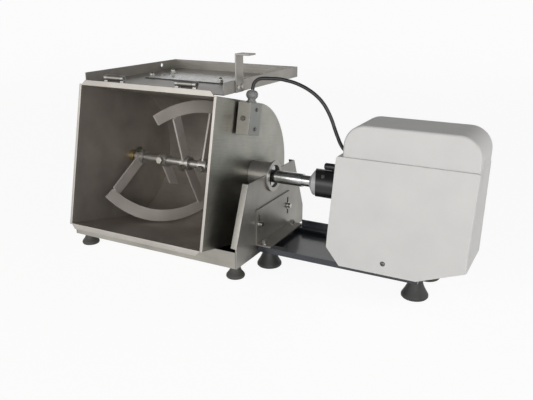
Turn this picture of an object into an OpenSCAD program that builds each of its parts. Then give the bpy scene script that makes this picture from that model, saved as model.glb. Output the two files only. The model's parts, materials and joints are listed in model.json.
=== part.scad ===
// Tilting meat mixer with an external drive unit.
// Lengths are millimetres, +Z is up, the mixing shaft runs along X.
// Sizes along X are measured from the middle of the tub, and the whole
// machine is then moved so that its origin is the centre of its footprint.

/* [Mixing tub] */
// Width of the tub over its end plates
tub_w = 300; // [280:1:320]
// Outer radius of the round belly
tub_r = 135.5; // [130:0.5:136]
// Shaft axis to the plane of the mouth
tub_mouth = 168; // [160:1:175]
// Thickness of the tub's sheet
tub_sheet = 2; // [1.5:0.5:2.5]
// Forward tilt of the mouth from straight up, in degrees
tub_tilt = 77; // [70:1:80]
// Width of the flat lips on the two long edges
lip_w = 8; // [6:1:9]
// Width of the folded hem on the end plates
hem_w = 3.5; // [2:0.5:3.5]

/* [Lid] */
// Angle of the lid from closed, in degrees
lid_open = 257.5; // [0:0.5:257.5]
// Height of the lid's rim
lid_rim = 21; // [15:1:24]
// Thickness of the lid's sheet
lid_sheet = 1.5; // [1:0.1:1.5]
// Gap between the lid and the tub
lid_gap = 0.7; // [0.5:0.1:1]
// Width of the viewing window plate
window_w = 184; // [150:1:200]
// Depth of the viewing window plate
window_d = 92; // [80:1:110]
// Radius of the dome nuts on the window
dome_nut_r = 5; // [4:0.5:6]
// Height of the strap that trips the switch
strap_h = 68; // [60:1:70]
// Width of that strap
strap_w = 25; // [20:1:30]
// Thickness of that strap
strap_t = 3; // [2:0.5:3]
// Reach of the strap's bent tab
strap_tab = 28; // [24:1:32]

/* [Lid hinges] */
// Distance of each hinge from the middle
hinge_x = 80.5; // [60:1:100]
// Length of each hinge
hinge_len = 45; // [40:1:50]
// Radius of the hinge barrels
hinge_r = 5.5; // [5:0.5:6]
// Radius of the hinge pins
hinge_pin_r = 3; // [2.5:0.5:3.5]

/* [Base frame] */
// Gap between the belly and the base pan
belly_gap = 1.8; // [1.5:0.1:3]
// Height of the underside of the base pan
pan_z = 26.3; // [24:0.1:26.3]
// How far the base pan stands out beyond the belly
pan_margin = 6.2; // [4:0.2:8]
// Thickness of the base pan
pan_sheet = 2; // [1.5:0.5:2]
// Distance of each upright's outer face from the tub's end plate
side_gap = 42; // [40:0.5:46]
// Thickness of the uprights
upright_t = 3; // [2:0.5:4]
// Height of the uprights' top edge above the shaft axis
upright_rise = 9; // [6:0.5:12]
// Depth of the uprights at the top
upright_top_d = 193.4; // [180:0.2:200]
// Width of the uprights' folded edges
upright_fold = 12.4; // [10:0.2:14]
// Radius of the mixer's feet
foot_r = 17.5; // [15:0.5:20]
// Distance of the feet in from the uprights
foot_in_x = 13; // [11:0.5:20]
// Distance of the feet in from the front and back of the base pan
foot_in_y = 22.5; // [20:0.5:30]
// Radius of the shank of the foot bolts
foot_bolt_r = 4; // [3:0.5:4]

/* [Trunnions] */
// Radius of each trunnion boss
boss_r = 26; // [25:0.5:28]
// Radius of the flange ring outside the upright
ring_r = 30; // [29:0.5:32]
// Width of that ring
ring_w = 4; // [3:0.5:6]
// Radius of the recess in the ring
recess_r = 21.5; // [20.5:0.5:22.5]
// Depth of that recess
recess_d = 19; // [19:0.5:20]
// Thickness of the plastic saddle liners
liner_t = 2.5; // [2:0.5:3]
// Outer radius of the bronze shaft bushes
bush_r = 12; // [11:0.5:13]
// How far the bushes stand out inside the tub
bush_proud = 10; // [6:1:12]

/* [Mixing shaft] */
// Radius of the mixing shaft
shaft_r = 8; // [7:0.5:9]
// Outer radius of the hubs
hub_r = 14; // [13:0.5:16]
// Length of the hubs
hub_len = 19; // [16:1:22]
// Gap between the helical blades and the tub's wall
blade_gap = 2.5; // [2:0.5:5]
// Radial width of the helical blades
blade_w = 25; // [20:1:30]
// Thickness of the helical blades
blade_t = 4.5; // [3:0.5:5]
// Lead of the helical blades, as a share of half the tub's width
lead_share = 3.11; // [3:0.01:3.2]
// Width of the flat arms
arm_w = 24; // [18:1:25]
// Thickness of the flat arms
arm_t = 4; // [3:0.5:5]
// Reach of the short pointed paddle
paddle_reach = 80; // [60:1:95]

/* [Drive shaft] */
// Radius of the drive shaft
drive_r = 12.5; // [12:0.5:13]
// Radius of the drive shaft beyond its step
drive_neck_r = 10.5; // [10.5:0.5:11.5]
// Radius of the drive shaft in its bearings
drive_seat_r = 10; // [9:0.5:10]
// Radius of the dog on the shaft's end
dog_r = 19; // [17:0.5:19]
// Width of the dog
dog_w = 8.5; // [8:0.1:8.5]
// Width of the dog's two claws
claw_w = 17; // [14:1:20]
// Thickness of the tongue that drives the mixing shaft
tongue_t = 8; // [6:0.5:9]
// Visible length of the shaft's thick part
drive_len = 60; // [54:1:62]
// Visible length of the shaft's thin part
neck_len = 17; // [14:1:19]
// Length of the conical collar
cone_len = 8; // [6:1:10]
// Small radius of the conical collar
cone_r = 13; // [12:0.5:16]
// Outer radius of the shaft tube
tube_r = 26; // [25:0.5:27]
// Length of the shaft tube outside the cover
tube_out = 58.8; // [55:0.1:62]
// Radius of the locking handle
knob_r = 6.3; // [5:0.1:7]
// Length of the locking handle
knob_len = 38; // [30:1:42]

/* [Drive unit] */
// Length of the motor cover
cover_w = 243; // [235:1:250]
// Depth of the motor cover
cover_d = 170; // [165:1:176]
// Height of the cover's top above the floor
cover_top = 296; // [288:1:298]
// Height of the cover's lower edge above the floor
cover_bottom = 48; // [48:1:52]
// Height of the step round the cover
cover_step_z = 241; // [236:1:244]
// Wall of the motor cover
cover_wall = 3; // [2.5:0.5:3.5]
// Radius of the cover's upper corners
cover_round = 37; // [30:1:40]
// Distance of the cover's rear step behind the shaft axis
cover_waist_y = 22; // [15:1:30]
// How far the cover's rear part is drawn in
rear_in = 8; // [6:1:10]
// Width of the tray under the motor
tray_d = 140; // [134:1:146]
// Height of the tray's underside
tray_z = 36; // [34:0.5:37]
// Height of the tray's side channels
tray_h = 11; // [9:0.5:12]
// Thickness of the tray's sheet
tray_sheet = 2.5; // [2:0.5:3]
// Radius of the drive unit's feet
motor_foot_r = 23.5; // [20:0.5:25]
// Distance between those feet along the shaft
motor_foot_span = 284; // [270:1:290]
// Distance between those feet front to back
motor_foot_span_y = 86; // [80:1:90]
// Height of the bracket that joins the tray to the upright
bracket_h = 70; // [60:1:72]
// Depth of that bracket
bracket_d = 140; // [136:1:144]
// Thickness of that bracket
bracket_t = 3; // [2.5:0.5:3.5]

/* [Gearbox and motor] */
// Gear module
gear_m = 1.5; // [1.5:0.1:1.5]
// Thickness of the gearbox casing
case_wall = 4; // [3:0.5:5]
// Radius of the motor body
motor_r = 60; // [56:1:62]
// Length of the motor body
motor_len = 110; // [100:1:115]
// Radius of the motor shaft
motor_shaft_r = 7.5; // [7:0.5:7.5]

/* [Safety switch] */
// Width of the sensor box along the shaft
sensor_w = 24; // [20:1:24]
// Length of the sensor box
sensor_len = 58; // [50:1:60]
// Depth of the sensor box
sensor_d = 42; // [38:1:44]
// Radius of the sensor cable
cable_r = 3.25; // [3:0.05:3.5]
// Radius of the cable gland
gland_r = 11; // [9:0.5:11]

/* [Hidden] */
$fn = 64;
overrun = 1;
// Running clearance of a shaft in its bore, and the gap between parts that only pass
run_gap = 0.05;
pass_gap = 0.3;

// Places that follow the tub's own size
upright_x = tub_w / 2 + side_gap;
axle_z = pan_z + pan_sheet + tub_r + belly_gap;
pan_d = 2 * (tub_r + pan_margin);
upright_top = axle_z + upright_rise;
blade_out = tub_r - tub_sheet - blade_gap;

// Mouth, hinge and lid
plate_x = tub_w / 2 - tub_sheet;
lid_depth = 14;
hinge_u = tub_mouth + pass_gap - lid_depth;
hinge_out = 16.5;
hinge_v = tub_r + hinge_out;
lid_edge_s = 3;
lid_half = tub_w / 2 + hem_w + lid_gap + lid_sheet;
lid_len = hinge_v + tub_r + lip_w + lid_gap + lid_sheet;
lid_top_depth = lid_depth + lid_sheet;
rim_depth = lid_top_depth - lid_rim;
leaf_t = 2.5;
eye_len = 7.5;
eye_gap = 0.5;
window_x = -8;
window_s = 160;
window_t = 2;
window_border = 18;
stud_inset = 10;
stud_r = 2;
dome_nut_h = 5;
dome_share = 0.9;
lid_hole_s = 244;
lid_hole_depth = 3;
lid_hole_r = 4;
strap_s = 40;
rivet_pitch = 14;
rivet_head_r = 4;
rivet_head_h = 1.6;
rivet_depth = 6;

// Base frame
pan_top = pan_z + pan_sheet;
upright_in = upright_x - upright_t;
knee_rise = 6.5;
wall_reach = (pan_d / 2 - pan_sheet - tub_r * cos(tub_tilt)) / sin(tub_tilt);
tub_wall_z = axle_z + wall_reach * cos(tub_tilt) - tub_r * sin(tub_tilt);
pan_flange_top = tub_wall_z - pass_gap;
knee_z = pan_flange_top + knee_rise;
hex_ratio = 1 / cos(30);
foot_head_r = 6.5;
foot_head_h = 5.3;
foot_hole_gap = 0.3;
foot_bolt_grip = 14;
bolt_spare = 1;
foot_rim = 5;
foot_neck_share = 0.52;
foot_toe_share = 0.86;

// Trunnions, from the tub's end plate outwards
liner_side = 1.2;
liner_depth = 3.2;
ring_start = upright_x + pass_gap;
liner_in = boss_r + pass_gap;
liner_out = liner_in + liner_t;
ring_end = ring_start + ring_w;
recess_start = ring_end - recess_d;
cap_t = 10.8;
cap_edge = 2;
cap_plug = 5;
seal_w = 6;
bush_in = plate_x - bush_proud;

// Drive shaft places along X
dog_floor = 3;
dog_in = 4;
dog_start = ring_end - dog_in - dog_w;
tongue_end = dog_start + dog_w - dog_floor;
tongue_root = dog_start - pass_gap;
shaft_in = 2;
shaft_left = -recess_start + shaft_in;
drive_end = ring_end + drive_len;
cone_start = drive_end + neck_len;
tube_start = cone_start + cone_len;
cover_x = tube_start + tube_out;
bearing_w = 12;
bearing_out = 21;
tube_bore = bearing_out;
cone_out = 24;
mouth_slant = 10;
plug_gap = 1;
first_bearing_in = 16;
bearing_1 = tube_start + first_bearing_in;
case_in = 31;
case_x = cover_x + case_in;
bearing_2 = case_x - bearing_w + case_wall;
neck_spare = 1;
neck_stop = bearing_1 - neck_spare;

// Gears: output wheel and layshaft pinion, then layshaft wheel and motor pinion
wheel_1 = 57;
pinion_1 = 15;
wheel_2 = 60;
pinion_2 = 12;
pressure = 25;
backlash = 0.35;
centre_dist = gear_m * (wheel_1 + pinion_1) / 2;
gear_side = 7;
gear_space = 8;
gear_end = 6;
tip_space = 3;
gear_1_x = case_x + case_wall + gear_side;
gear_1_w = 13;
gear_2_x = gear_1_x + gear_1_w + gear_space;
gear_2_w = 10;
gear_extra = 1.5;
case_len = gear_2_x + gear_2_w + gear_end - case_x;
lay_r = 6;
lay_bearing_w = 8;
lay_bearing_out = 14;
lay_seat = 1;
case_round = gear_m * wheel_2 / 2 + gear_m + tip_space + case_wall;
case_top_r = gear_m * wheel_1 / 2 + gear_m + tip_space + case_wall;
case_foot_in = 6;
case_foot_d = tray_d - 2 * case_foot_in;
tray_top = tray_z + tray_h;
foot_plate_t = 5;

// Motor
motor_gap = 1;
motor_x = case_x + case_len + case_wall + motor_gap;
motor_end = motor_x + motor_len;
shell_t = 4;
stator_in = 33;
air_gap = 0.7;
core_len = 50;
core_x = motor_x + (motor_len - core_len) / 2;
winding_r = 8;
motor_bearing_w = 11;
motor_bearing_out = 17.5;
fan_r = 50;
fan_w = 10;
fan_gap = 5;
fan_x = motor_end + fan_gap;
fan_blades = 8;
pinion_core = 4.5;
rotor_in = 1;
fuse_lap = 1;
cradle_w = 10;

// Cover, tray and bracket
cover_end = cover_x + cover_w;
cover_lean = 9.5;
cover_belt_z = 100;
front_lean = 9;
step_in = 5;
step_side = 6.5;
top_lean = 3;
corner_r = 3;
rear_drop = 9;
rear_slope = 11;
rear_taper = 6;
waist_lap = 7;
chamfer_w = 25;
chamfer_h = 31;
side_chamfer_w = 82.5;
side_lean = 3;
cover_screw_in = 103;
cover_screw_x = cover_x + cover_screw_in;
cover_screw_z = 68;
cover_screw_r = 2.5;
hole_reach = cover_lean + rear_in + 3 * cover_wall;
screw_head_r = 4.5;
screw_head_h = 2.5;
small_head_r = 3.5;
lug_w = 20;
lug_over = 10;
lug_top = cover_screw_z + lug_over;
tray_gap = 2;
tray_x = upright_x + bracket_t + tray_gap;
tray_end = cover_end - side_chamfer_w;
tray_lip = 16;
motor_foot_in = 15.2;
motor_foot_x = upright_x + motor_foot_in;
motor_foot_neck = 13;
slot_y = 60;
slot_z = 88;
slot_r = 3.3;
slot_h = 36;
m6_r = 3;
m6_head_r = 5;
m6_head_h = 6;
washer_r = 7;
washer_t = 1.2;
nut_r = 5.6;
nut_h = 5;
shelf_x = 28;
upstand_h = 12;
upstand_gap = 1;
upstand_x = upright_x + bracket_t + shelf_x + upstand_gap;
shelf_bolt_x = 14;
shelf_bolt_y = 60;

// Locking handle and tube screw
knob_in = 36.7;
knob_x = tube_start + knob_in;
knob_rise = 1;
knob_stem_r = 3;
knob_end_r = 2;
stem_clear = 0.5;
tube_screw_in = 22;
tube_screw_x = tube_start + tube_screw_in;
tube_screw_r = 2;
tube_screw_head_r = 3.5;
tube_screw_head_h = 2;
tube_screw_angle = 135;

// Safety switch, in the tub's own directions
bracket_drop = 75;
bracket_face_u = tub_mouth - bracket_drop;
switch_drop = 61.5;
switch_v = tub_r - switch_drop;
switch_gap = 4;
switch_x = tub_w / 2 + switch_gap;
plate_t = 1.5;
switch_box_u = bracket_face_u - plate_t - sensor_d;
switch_top = switch_v + sensor_len;
gland_x = switch_x + plate_t + sensor_w / 2;
gland_u = switch_box_u + sensor_d / 2;
gland_hex_h = 8;
gland_nut_h = 12;
gland_tip_h = 3;
gland_step = 1;
gland_lip = 2;
cable_gap = 0.1;
cable_mouth_r = cable_r + cable_gap;

// Sensor cable: where it enters the cover, and its route in the machine's own frame
grommet_r = 8;
grommet_neck_r = 6;
grommet_t = 3;
grommet_gap = 0.7;
cable_z = 230;
wall_lean = cover_lean / (cover_step_z - cover_bottom - chamfer_h);
grommet_x = cover_x + (cable_z - cover_bottom - chamfer_h) * wall_lean - grommet_gap;
cable_route = [
    [167.5, -34, 333], [168, -33, 338], [170, -32, 345], [174, -30, 350], [180, -28, 353],
    [189, -26, 354], [200, -23, 354], [214, -21, 354], [228, -19, 352], [242, -17, 349],
    [256, -15, 344], [270, -13, 337], [283, -11, 328], [295, -9, 316], [304, -7, 302],
    [311, -5, 287], [317, -4, 271], [323, -3, 256], [329, -2, 243], [336, -1, 234],
    [343, 0, 230], [352, 0, 230]];
cable_sides = 10;

// Mixing blades: places along the shaft and angles about it
hub_shares = [-0.825, -0.43, -0.05, 0.245, 0.62];
hub_places = [for (share = hub_shares) share * plate_x];
paddle_angle = -64;
arms = [[0, -150], [2, 106], [2, -63], [3, 70], [3, -27], [4, 30]];
lower_start = -154;
lower_turn = 134;
lower_share = -0.85;
lower_x = lower_share * plate_x;
upper_start = 124;
upper_turn = 99;
upper_share = -0.195;
upper_x = upper_share * plate_x;
blade_lead = lead_share * plate_x;
blade_steps = 24;
blade_in = blade_out - blade_w;
hub_bolt_r = 4;
hub_bolt_head_r = 6.5;
hub_bolt_head_h = 5.5;
hub_bolt_rise = 2;
bolt_angles = [115, 170, 201, 190, 175];

// Footprint, which sets the origin
left_extent = -(ring_end + cap_t);
front_extent = -tub_mouth * sin(tub_tilt) - (tub_r + lip_w) * cos(tub_tilt);
lid_angle = 180 + tub_tilt - lid_open;
hinge_y = -hinge_u * sin(tub_tilt) + hinge_v * cos(tub_tilt);
back_extent = hinge_y + lid_len * cos(lid_angle);
shift_x = -(left_extent + cover_end) / 2;
shift_y = -(front_extent + back_extent) / 2;

// Moves a piece from the tub's middle to the machine's origin.
module place() {
    translate([shift_x, shift_y, 0]) children();
}

// Puts a piece on the shaft axis, at a distance along it.
module on_axle(x = 0) {
    place() translate([x, 0, axle_z]) children();
}

// The tub's own directions: across, up the mouth, and out of the mouth.
module tub_frame() {
    on_axle() rotate([tub_tilt, 0, 0]) children();
}

// The lid's own directions, with the hinge axis at zero.
module lid_frame() {
    tub_frame() translate([0, hinge_v, hinge_u]) rotate([-lid_open, 0, 0]) children();
}

// Extrudes an outline, drawn front to back and up, along the shaft.
module along_x(x0, len) {
    translate([x0, 0, 0]) rotate([90, 0, 90]) linear_extrude(len) children();
}

// A round bar along the shaft.
module bar_x(x0, len, r) {
    translate([x0, 0, 0]) rotate([0, 90, 0]) cylinder(h = len, r = r);
}

// A round tube along the shaft.
module tube_x(x0, len, r_out, r_in) {
    difference() {
        bar_x(x0, len, r_out);
        bar_x(x0 - overrun, len + 2 * overrun, r_in);
    }
}

// A box given by its corner and its size, centred front to back.
module block_y(x0, z0, size) {
    translate([x0, -size[1] / 2, z0]) cube(size);
}

module both_sides() {
    children();
    mirror([1, 0, 0]) children();
}

module both_depths() {
    children();
    mirror([0, 1, 0]) children();
}

// A hexagonal head on the origin, with its face-to-face radius.
module hex_head(face_r, h) {
    cylinder(h = h, r = face_r * hex_ratio, $fn = 6);
}

// The tub's cross-section, drawn up the mouth and out of the mouth.
module tub_outline(r) {
    circle(r = r);
    translate([-r, 0]) square([2 * r, tub_mouth]);
}

module tub_shell() color("silver") tub_frame() {
    along_x(-plate_x, 2 * plate_x) difference() {
        tub_outline(tub_r);
        tub_outline(tub_r - tub_sheet);
        translate([-tub_r + tub_sheet, 0]) square([2 * (tub_r - tub_sheet), tub_mouth + overrun]);
    }
    both_depths() translate([0, 0, tub_mouth - tub_sheet]) linear_extrude(tub_sheet)
        polygon([[-plate_x, tub_r], [plate_x, tub_r], [plate_x - lip_w, tub_r + lip_w],
            [-plate_x + lip_w, tub_r + lip_w]]);
}

module end_plate() {
    difference() {
        along_x(plate_x, tub_sheet) tub_outline(tub_r);
        bar_x(plate_x - overrun, tub_sheet + 2 * overrun, bush_r);
    }
    translate([plate_x + tub_sheet, -tub_r, tub_mouth - tub_sheet])
        cube([hem_w, 2 * tub_r, tub_sheet]);
}

module left_end_plate() color("silver") tub_frame() mirror([1, 0, 0]) end_plate();

module right_end_plate() color("silver") tub_frame() end_plate();

// A trunnion: boss, flange ring, bush bore and outer recess.
module trunnion() {
    difference() {
        union() {
            bar_x(plate_x + tub_sheet, ring_end - plate_x - tub_sheet, boss_r);
            bar_x(ring_start, ring_w, ring_r);
        }
        bar_x(plate_x, ring_end - plate_x, bush_r);
        bar_x(recess_start, recess_d + overrun, recess_r);
    }
}

module left_trunnion() color("gainsboro") tub_frame() mirror([1, 0, 0]) trunnion();

module right_trunnion() color("gainsboro") tub_frame() trunnion();

module trunnion_cap() color("gainsboro") tub_frame() mirror([1, 0, 0]) {
    bar_x(ring_end, cap_t, ring_r - cap_edge);
    bar_x(ring_end - cap_plug, cap_plug, recess_r - run_gap);
}

module shaft_bushes() color("goldenrod") tub_frame() both_sides()
    tube_x(bush_in, recess_start - bush_in, bush_r, shaft_r + run_gap);

module shaft_seals() color("black") tub_frame() both_sides()
    tube_x(recess_start, seal_w, recess_r - run_gap, shaft_r + pass_gap);

// Outline of an upright: straight foot, sloping sides and flat top.
module upright_outline() {
    polygon([[-pan_d / 2, pan_z], [pan_d / 2, pan_z], [pan_d / 2, knee_z],
        [upright_top_d / 2, upright_top], [-upright_top_d / 2, upright_top],
        [-pan_d / 2, knee_z]]);
}

// Sheet with a saddle for the trunnion, and its two sloping edges folded inwards.
module upright() {
    slope = atan2(upright_top - knee_z, (pan_d - upright_top_d) / 2);
    fold_d = upright_t / sin(slope);
    difference() {
        along_x(upright_in, upright_t) upright_outline();
        translate([0, 0, axle_z]) bar_x(upright_in - overrun, upright_t + 2 * overrun, liner_out);
        translate([upright_in - overrun, -liner_out, axle_z])
            cube([upright_t + 2 * overrun, 2 * liner_out, upright_top - axle_z + overrun]);
        both_depths() translate([0, slot_y, slot_z])
            bar_x(upright_in - overrun, upright_t + 2 * overrun, m6_r + foot_hole_gap);
    }
    both_depths() along_x(upright_x - upright_fold, upright_fold - upright_t)
        polygon([[pan_d / 2 - fold_d, knee_z], [pan_d / 2, knee_z],
            [upright_top_d / 2, upright_top], [upright_top_d / 2 - fold_d, upright_top]]);
}

module left_upright() color("silver") place() mirror([1, 0, 0]) upright();

module right_upright() color("silver") place() upright();

module base_pan() color("silver") place() {
    difference() {
        translate([-upright_in, -pan_d / 2, pan_z]) cube([2 * upright_in, pan_d, pan_sheet]);
        at_feet() translate([0, 0, pan_z - overrun])
            cylinder(h = pan_sheet + 2 * overrun, r = foot_bolt_r + foot_hole_gap);
    }
    both_depths() translate([-upright_in, pan_d / 2 - pan_sheet, pan_top])
        cube([2 * upright_in, pan_sheet, pan_flange_top - pan_top]);
}

module at_feet() {
    both_sides() both_depths() translate([upright_in - foot_in_x, pan_d / 2 - foot_in_y, 0]) children();
}

// A domed rubber foot with a blind hole for its bolt.
module rubber_foot(r, h, neck_r, hole_r, hole_d) {
    rotate_extrude() difference() {
        polygon(concat([[0, 0], [r * foot_toe_share, 0], [r, foot_rim / 2], [r, foot_rim]],
            [for (a = [15:15:90]) [neck_r + (r - neck_r) * (1 - sin(a)),
                foot_rim + (h / 2 - foot_rim) * (1 - cos(a))]],
            [[neck_r, h], [0, h]]));
        translate([0, h - hole_d]) square([hole_r, hole_d + overrun]);
    }
}

module base_feet() color("dimgray") place() at_feet()
    rubber_foot(foot_r, pan_z, foot_r * foot_neck_share, foot_bolt_r + run_gap, foot_bolt_grip + bolt_spare);

// Hex bolt: shank below the origin, head above it.
module hex_bolt(r, len, face_r, head_h) {
    translate([0, 0, -len]) cylinder(h = len, r = r);
    hex_head(face_r, head_h);
}

// The bolts of all eight feet.
module foot_bolts() color("lightgray") place() {
    at_feet() translate([0, 0, pan_top])
        hex_bolt(foot_bolt_r, pan_sheet + foot_bolt_grip, foot_head_r, foot_head_h);
    at_motor_feet() translate([0, 0, tray_z + tray_sheet])
        hex_bolt(foot_bolt_r, tray_sheet + foot_bolt_grip, foot_head_r, foot_head_h);
}

// Half-round liner in the saddle, with a flange against the upright's inner face.
module saddle_liner() {
    translate([upright_in - liner_side, 0, axle_z]) rotate([0, 90, 0]) rotate([0, 0, -90])
        rotate_extrude(angle = 180) {
            translate([liner_in, 0]) square([liner_t - run_gap, upright_t + liner_side]);
            translate([liner_in, 0]) square([liner_t + liner_depth, liner_side]);
        }
}

module saddle_liners() color("white") place() both_sides() saddle_liner();

module mount_bracket() color("silver") place() difference() {
    union() {
        block_y(upright_x, tray_top, [bracket_t, bracket_d, bracket_h]);
        block_y(upright_x, tray_top, [bracket_t + shelf_x, bracket_d, bracket_t]);
    }
    both_depths() translate([0, slot_y, slot_z]) along_x(upright_x - overrun, bracket_t + 2 * overrun) {
        translate([-slot_r, -slot_h / 2 + slot_r]) square([2 * slot_r, slot_h - 2 * slot_r]);
        translate([0, slot_h / 2 - slot_r]) circle(r = slot_r);
        translate([0, -slot_h / 2 + slot_r]) circle(r = slot_r);
    }
    at_shelf_bolts() translate([0, 0, tray_top - overrun])
        cylinder(h = bracket_t + 2 * overrun, r = m6_r + foot_hole_gap);
}

module at_shelf_bolts() {
    both_depths() translate([upright_x + shelf_bolt_x, shelf_bolt_y, 0]) children();
}

// Screws through the bracket's slots, with washers and nuts.
module bracket_screws() color("lightgray") place() both_depths() translate([0, slot_y, slot_z]) {
    bar_x(upright_in - nut_h, upright_t + bracket_t + washer_t + nut_h, m6_r);
    bar_x(upright_x + bracket_t, washer_t, washer_r);
    bar_x(upright_x + bracket_t + washer_t, m6_head_h, m6_head_r);
    translate([upright_in - nut_h, 0, 0]) rotate([0, 90, 0]) hex_head(nut_r - run_gap, nut_h);
}

module shelf_bolts() color("lightgray") place() at_shelf_bolts()
    translate([0, 0, tray_top + bracket_t]) {
    cylinder(h = washer_t, r = washer_r);
    translate([0, 0, washer_t])
        hex_bolt(m6_r, washer_t + bracket_t + tray_sheet + nut_h, m6_head_r, m6_head_h);
    translate([0, 0, -bracket_t - tray_sheet - nut_h]) hex_head(nut_r, nut_h);
}

// Tray: a sheet with two side channels, whose lips turn inwards, and an upstand at the back.
module motor_tray() color("darkslategray") place() difference() {
    union() {
        block_y(tray_x, tray_z, [tray_end - tray_x, tray_d, tray_sheet]);
        both_depths() translate([tray_x, tray_d / 2 - tray_sheet, tray_z])
            cube([tray_end - tray_x, tray_sheet, tray_h]);
        both_depths() translate([tray_x, tray_d / 2 - tray_lip, tray_top - tray_sheet])
            cube([tray_end - tray_x, tray_lip, tray_sheet]);
        translate([upstand_x, tray_d / 2 - tray_sheet, tray_z])
            cube([cover_x - upstand_gap - upstand_x, tray_sheet, tray_h + upstand_h]);
    }
    at_motor_feet() translate([0, 0, tray_z - overrun])
        cylinder(h = tray_sheet + 2 * overrun, r = foot_bolt_r + foot_hole_gap);
    at_shelf_bolts() translate([0, 0, tray_top - tray_sheet - overrun])
        cylinder(h = tray_sheet + 2 * overrun, r = m6_r + foot_hole_gap);
}

module at_motor_feet() {
    for (x = [motor_foot_x, motor_foot_x + motor_foot_span])
        both_depths() translate([x, motor_foot_span_y / 2, 0]) children();
}

module motor_feet() color("black") place() at_motor_feet()
    rubber_foot(motor_foot_r, tray_z, motor_foot_neck, foot_bolt_r + run_gap, foot_bolt_grip + bolt_spare);

// Front view of the cover below its step, drawn along the shaft and up.
module cover_lower_front(t) {
    offset(r = -t) offset(r = corner_r) offset(r = -corner_r)
        polygon([[0, cover_bottom + chamfer_h], [chamfer_w, cover_bottom],
            [cover_w - side_chamfer_w, cover_bottom], [cover_w - side_lean, cover_bottom + chamfer_h],
            [cover_w, cover_step_z], [cover_lean, cover_step_z]]);
}

// Front view of the cover above its step.
module cover_upper_front(t) {
    left = cover_lean + step_side;
    offset(r = -t) offset(r = cover_round) offset(r = -cover_round)
        polygon([[left, cover_belt_z], [cover_w - side_lean, cover_belt_z],
            [cover_w, cover_top], [left + side_lean, cover_top]]);
}

// End view of the cover's front part below its step, drawn front to back and up.
module cover_lower_side(t) {
    low = -cover_d / 2 + t;
    polygon([[low, 0], [cover_waist_y - t, 0], [cover_waist_y - t, cover_step_z - t],
        [low + front_lean, cover_step_z - t], [low, cover_belt_z]]);
}

// End view of the cover's front part above its step.
module cover_upper_side(t) {
    low = -cover_d / 2 + front_lean + step_in + t;
    polygon([[low, 0], [cover_waist_y - t, 0], [cover_waist_y - t, cover_top - t],
        [low + top_lean, cover_top - t], [low, cover_step_z]]);
}

// End view of the cover's rear part.
module cover_rear_side(t) {
    top = cover_top - rear_drop - t;
    polygon([[cover_waist_y - waist_lap, 0], [cover_d / 2 - t, 0], [cover_d / 2 - t, top - rear_slope],
        [cover_waist_y, top], [cover_waist_y - waist_lap, top]]);
}

// Top view of the cover's rear part, drawn in a little towards the back.
module cover_rear_plan(t) {
    left = cover_lean + rear_in + t;
    right = cover_w - rear_in - t;
    polygon([[left, cover_waist_y - waist_lap], [right, cover_waist_y - waist_lap],
        [right - rear_taper, cover_d / 2], [left + rear_taper / 2, cover_d / 2]]);
}

// The cover's form, drawn in from its outside by a wall.
module cover_form(t) {
    intersection() {
        rotate([90, 0, 0]) linear_extrude(cover_d, center = true) cover_lower_front(t);
        along_x(0, cover_w) cover_lower_side(t);
    }
    intersection() {
        rotate([90, 0, 0]) linear_extrude(cover_d, center = true) cover_upper_front(t);
        along_x(0, cover_w) cover_upper_side(t);
    }
    intersection() {
        rotate([90, 0, 0]) linear_extrude(cover_d, center = true) offset(r = -rear_in - t) {
            cover_lower_front(0);
            cover_upper_front(0);
        }
        along_x(0, cover_w) cover_rear_side(t);
        linear_extrude(cover_top) cover_rear_plan(t);
    }
}

module motor_cover() color("white") place() difference() {
    translate([cover_x, 0, 0]) cover_form(0);
    translate([cover_x, 0, 0]) cover_form(cover_wall);
    block_y(cover_x + chamfer_w + cover_wall, cover_bottom - overrun,
        [cover_w - side_chamfer_w - chamfer_w - 2 * cover_wall, cover_d - 2 * cover_wall,
            rear_in + 3 * cover_wall]);
    translate([0, 0, axle_z]) bar_x(cover_x - overrun, hole_reach, tube_r + pass_gap);
    translate([0, 0, cable_z]) bar_x(cover_x - overrun, hole_reach, grommet_neck_r + run_gap);
    translate([cover_screw_x, -cover_d, cover_screw_z]) rotate([-90, 0, 0])
        cylinder(h = 2 * cover_d, r = cover_screw_r + foot_hole_gap);
}

// Angled lugs on the tray that the cover is screwed to.
module cover_brackets() color("gray") place() both_depths() {
    reach = cover_d / 2 - cover_wall - pass_gap;
    difference() {
        translate([cover_screw_x - lug_w / 2, reach - tray_sheet, tray_top])
            cube([lug_w, tray_sheet, lug_top - tray_top]);
        translate([cover_screw_x, 0, cover_screw_z]) rotate([-90, 0, 0])
            cylinder(h = cover_d, r = cover_screw_r + run_gap);
    }
    translate([cover_screw_x - lug_w / 2, tray_d / 2 - tray_lip, tray_top])
        cube([lug_w, reach - tray_d / 2 + tray_lip, tray_sheet]);
}

module cover_screws() color("lightgray") place() both_depths()
    translate([cover_screw_x, cover_d / 2, cover_screw_z]) rotate([-90, 0, 0]) {
        translate([0, 0, -cover_wall - 2 * tray_sheet - pass_gap])
            cylinder(h = cover_wall + 2 * tray_sheet + pass_gap, r = cover_screw_r);
        cylinder(h = screw_head_h, r = screw_head_r);
    }

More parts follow.
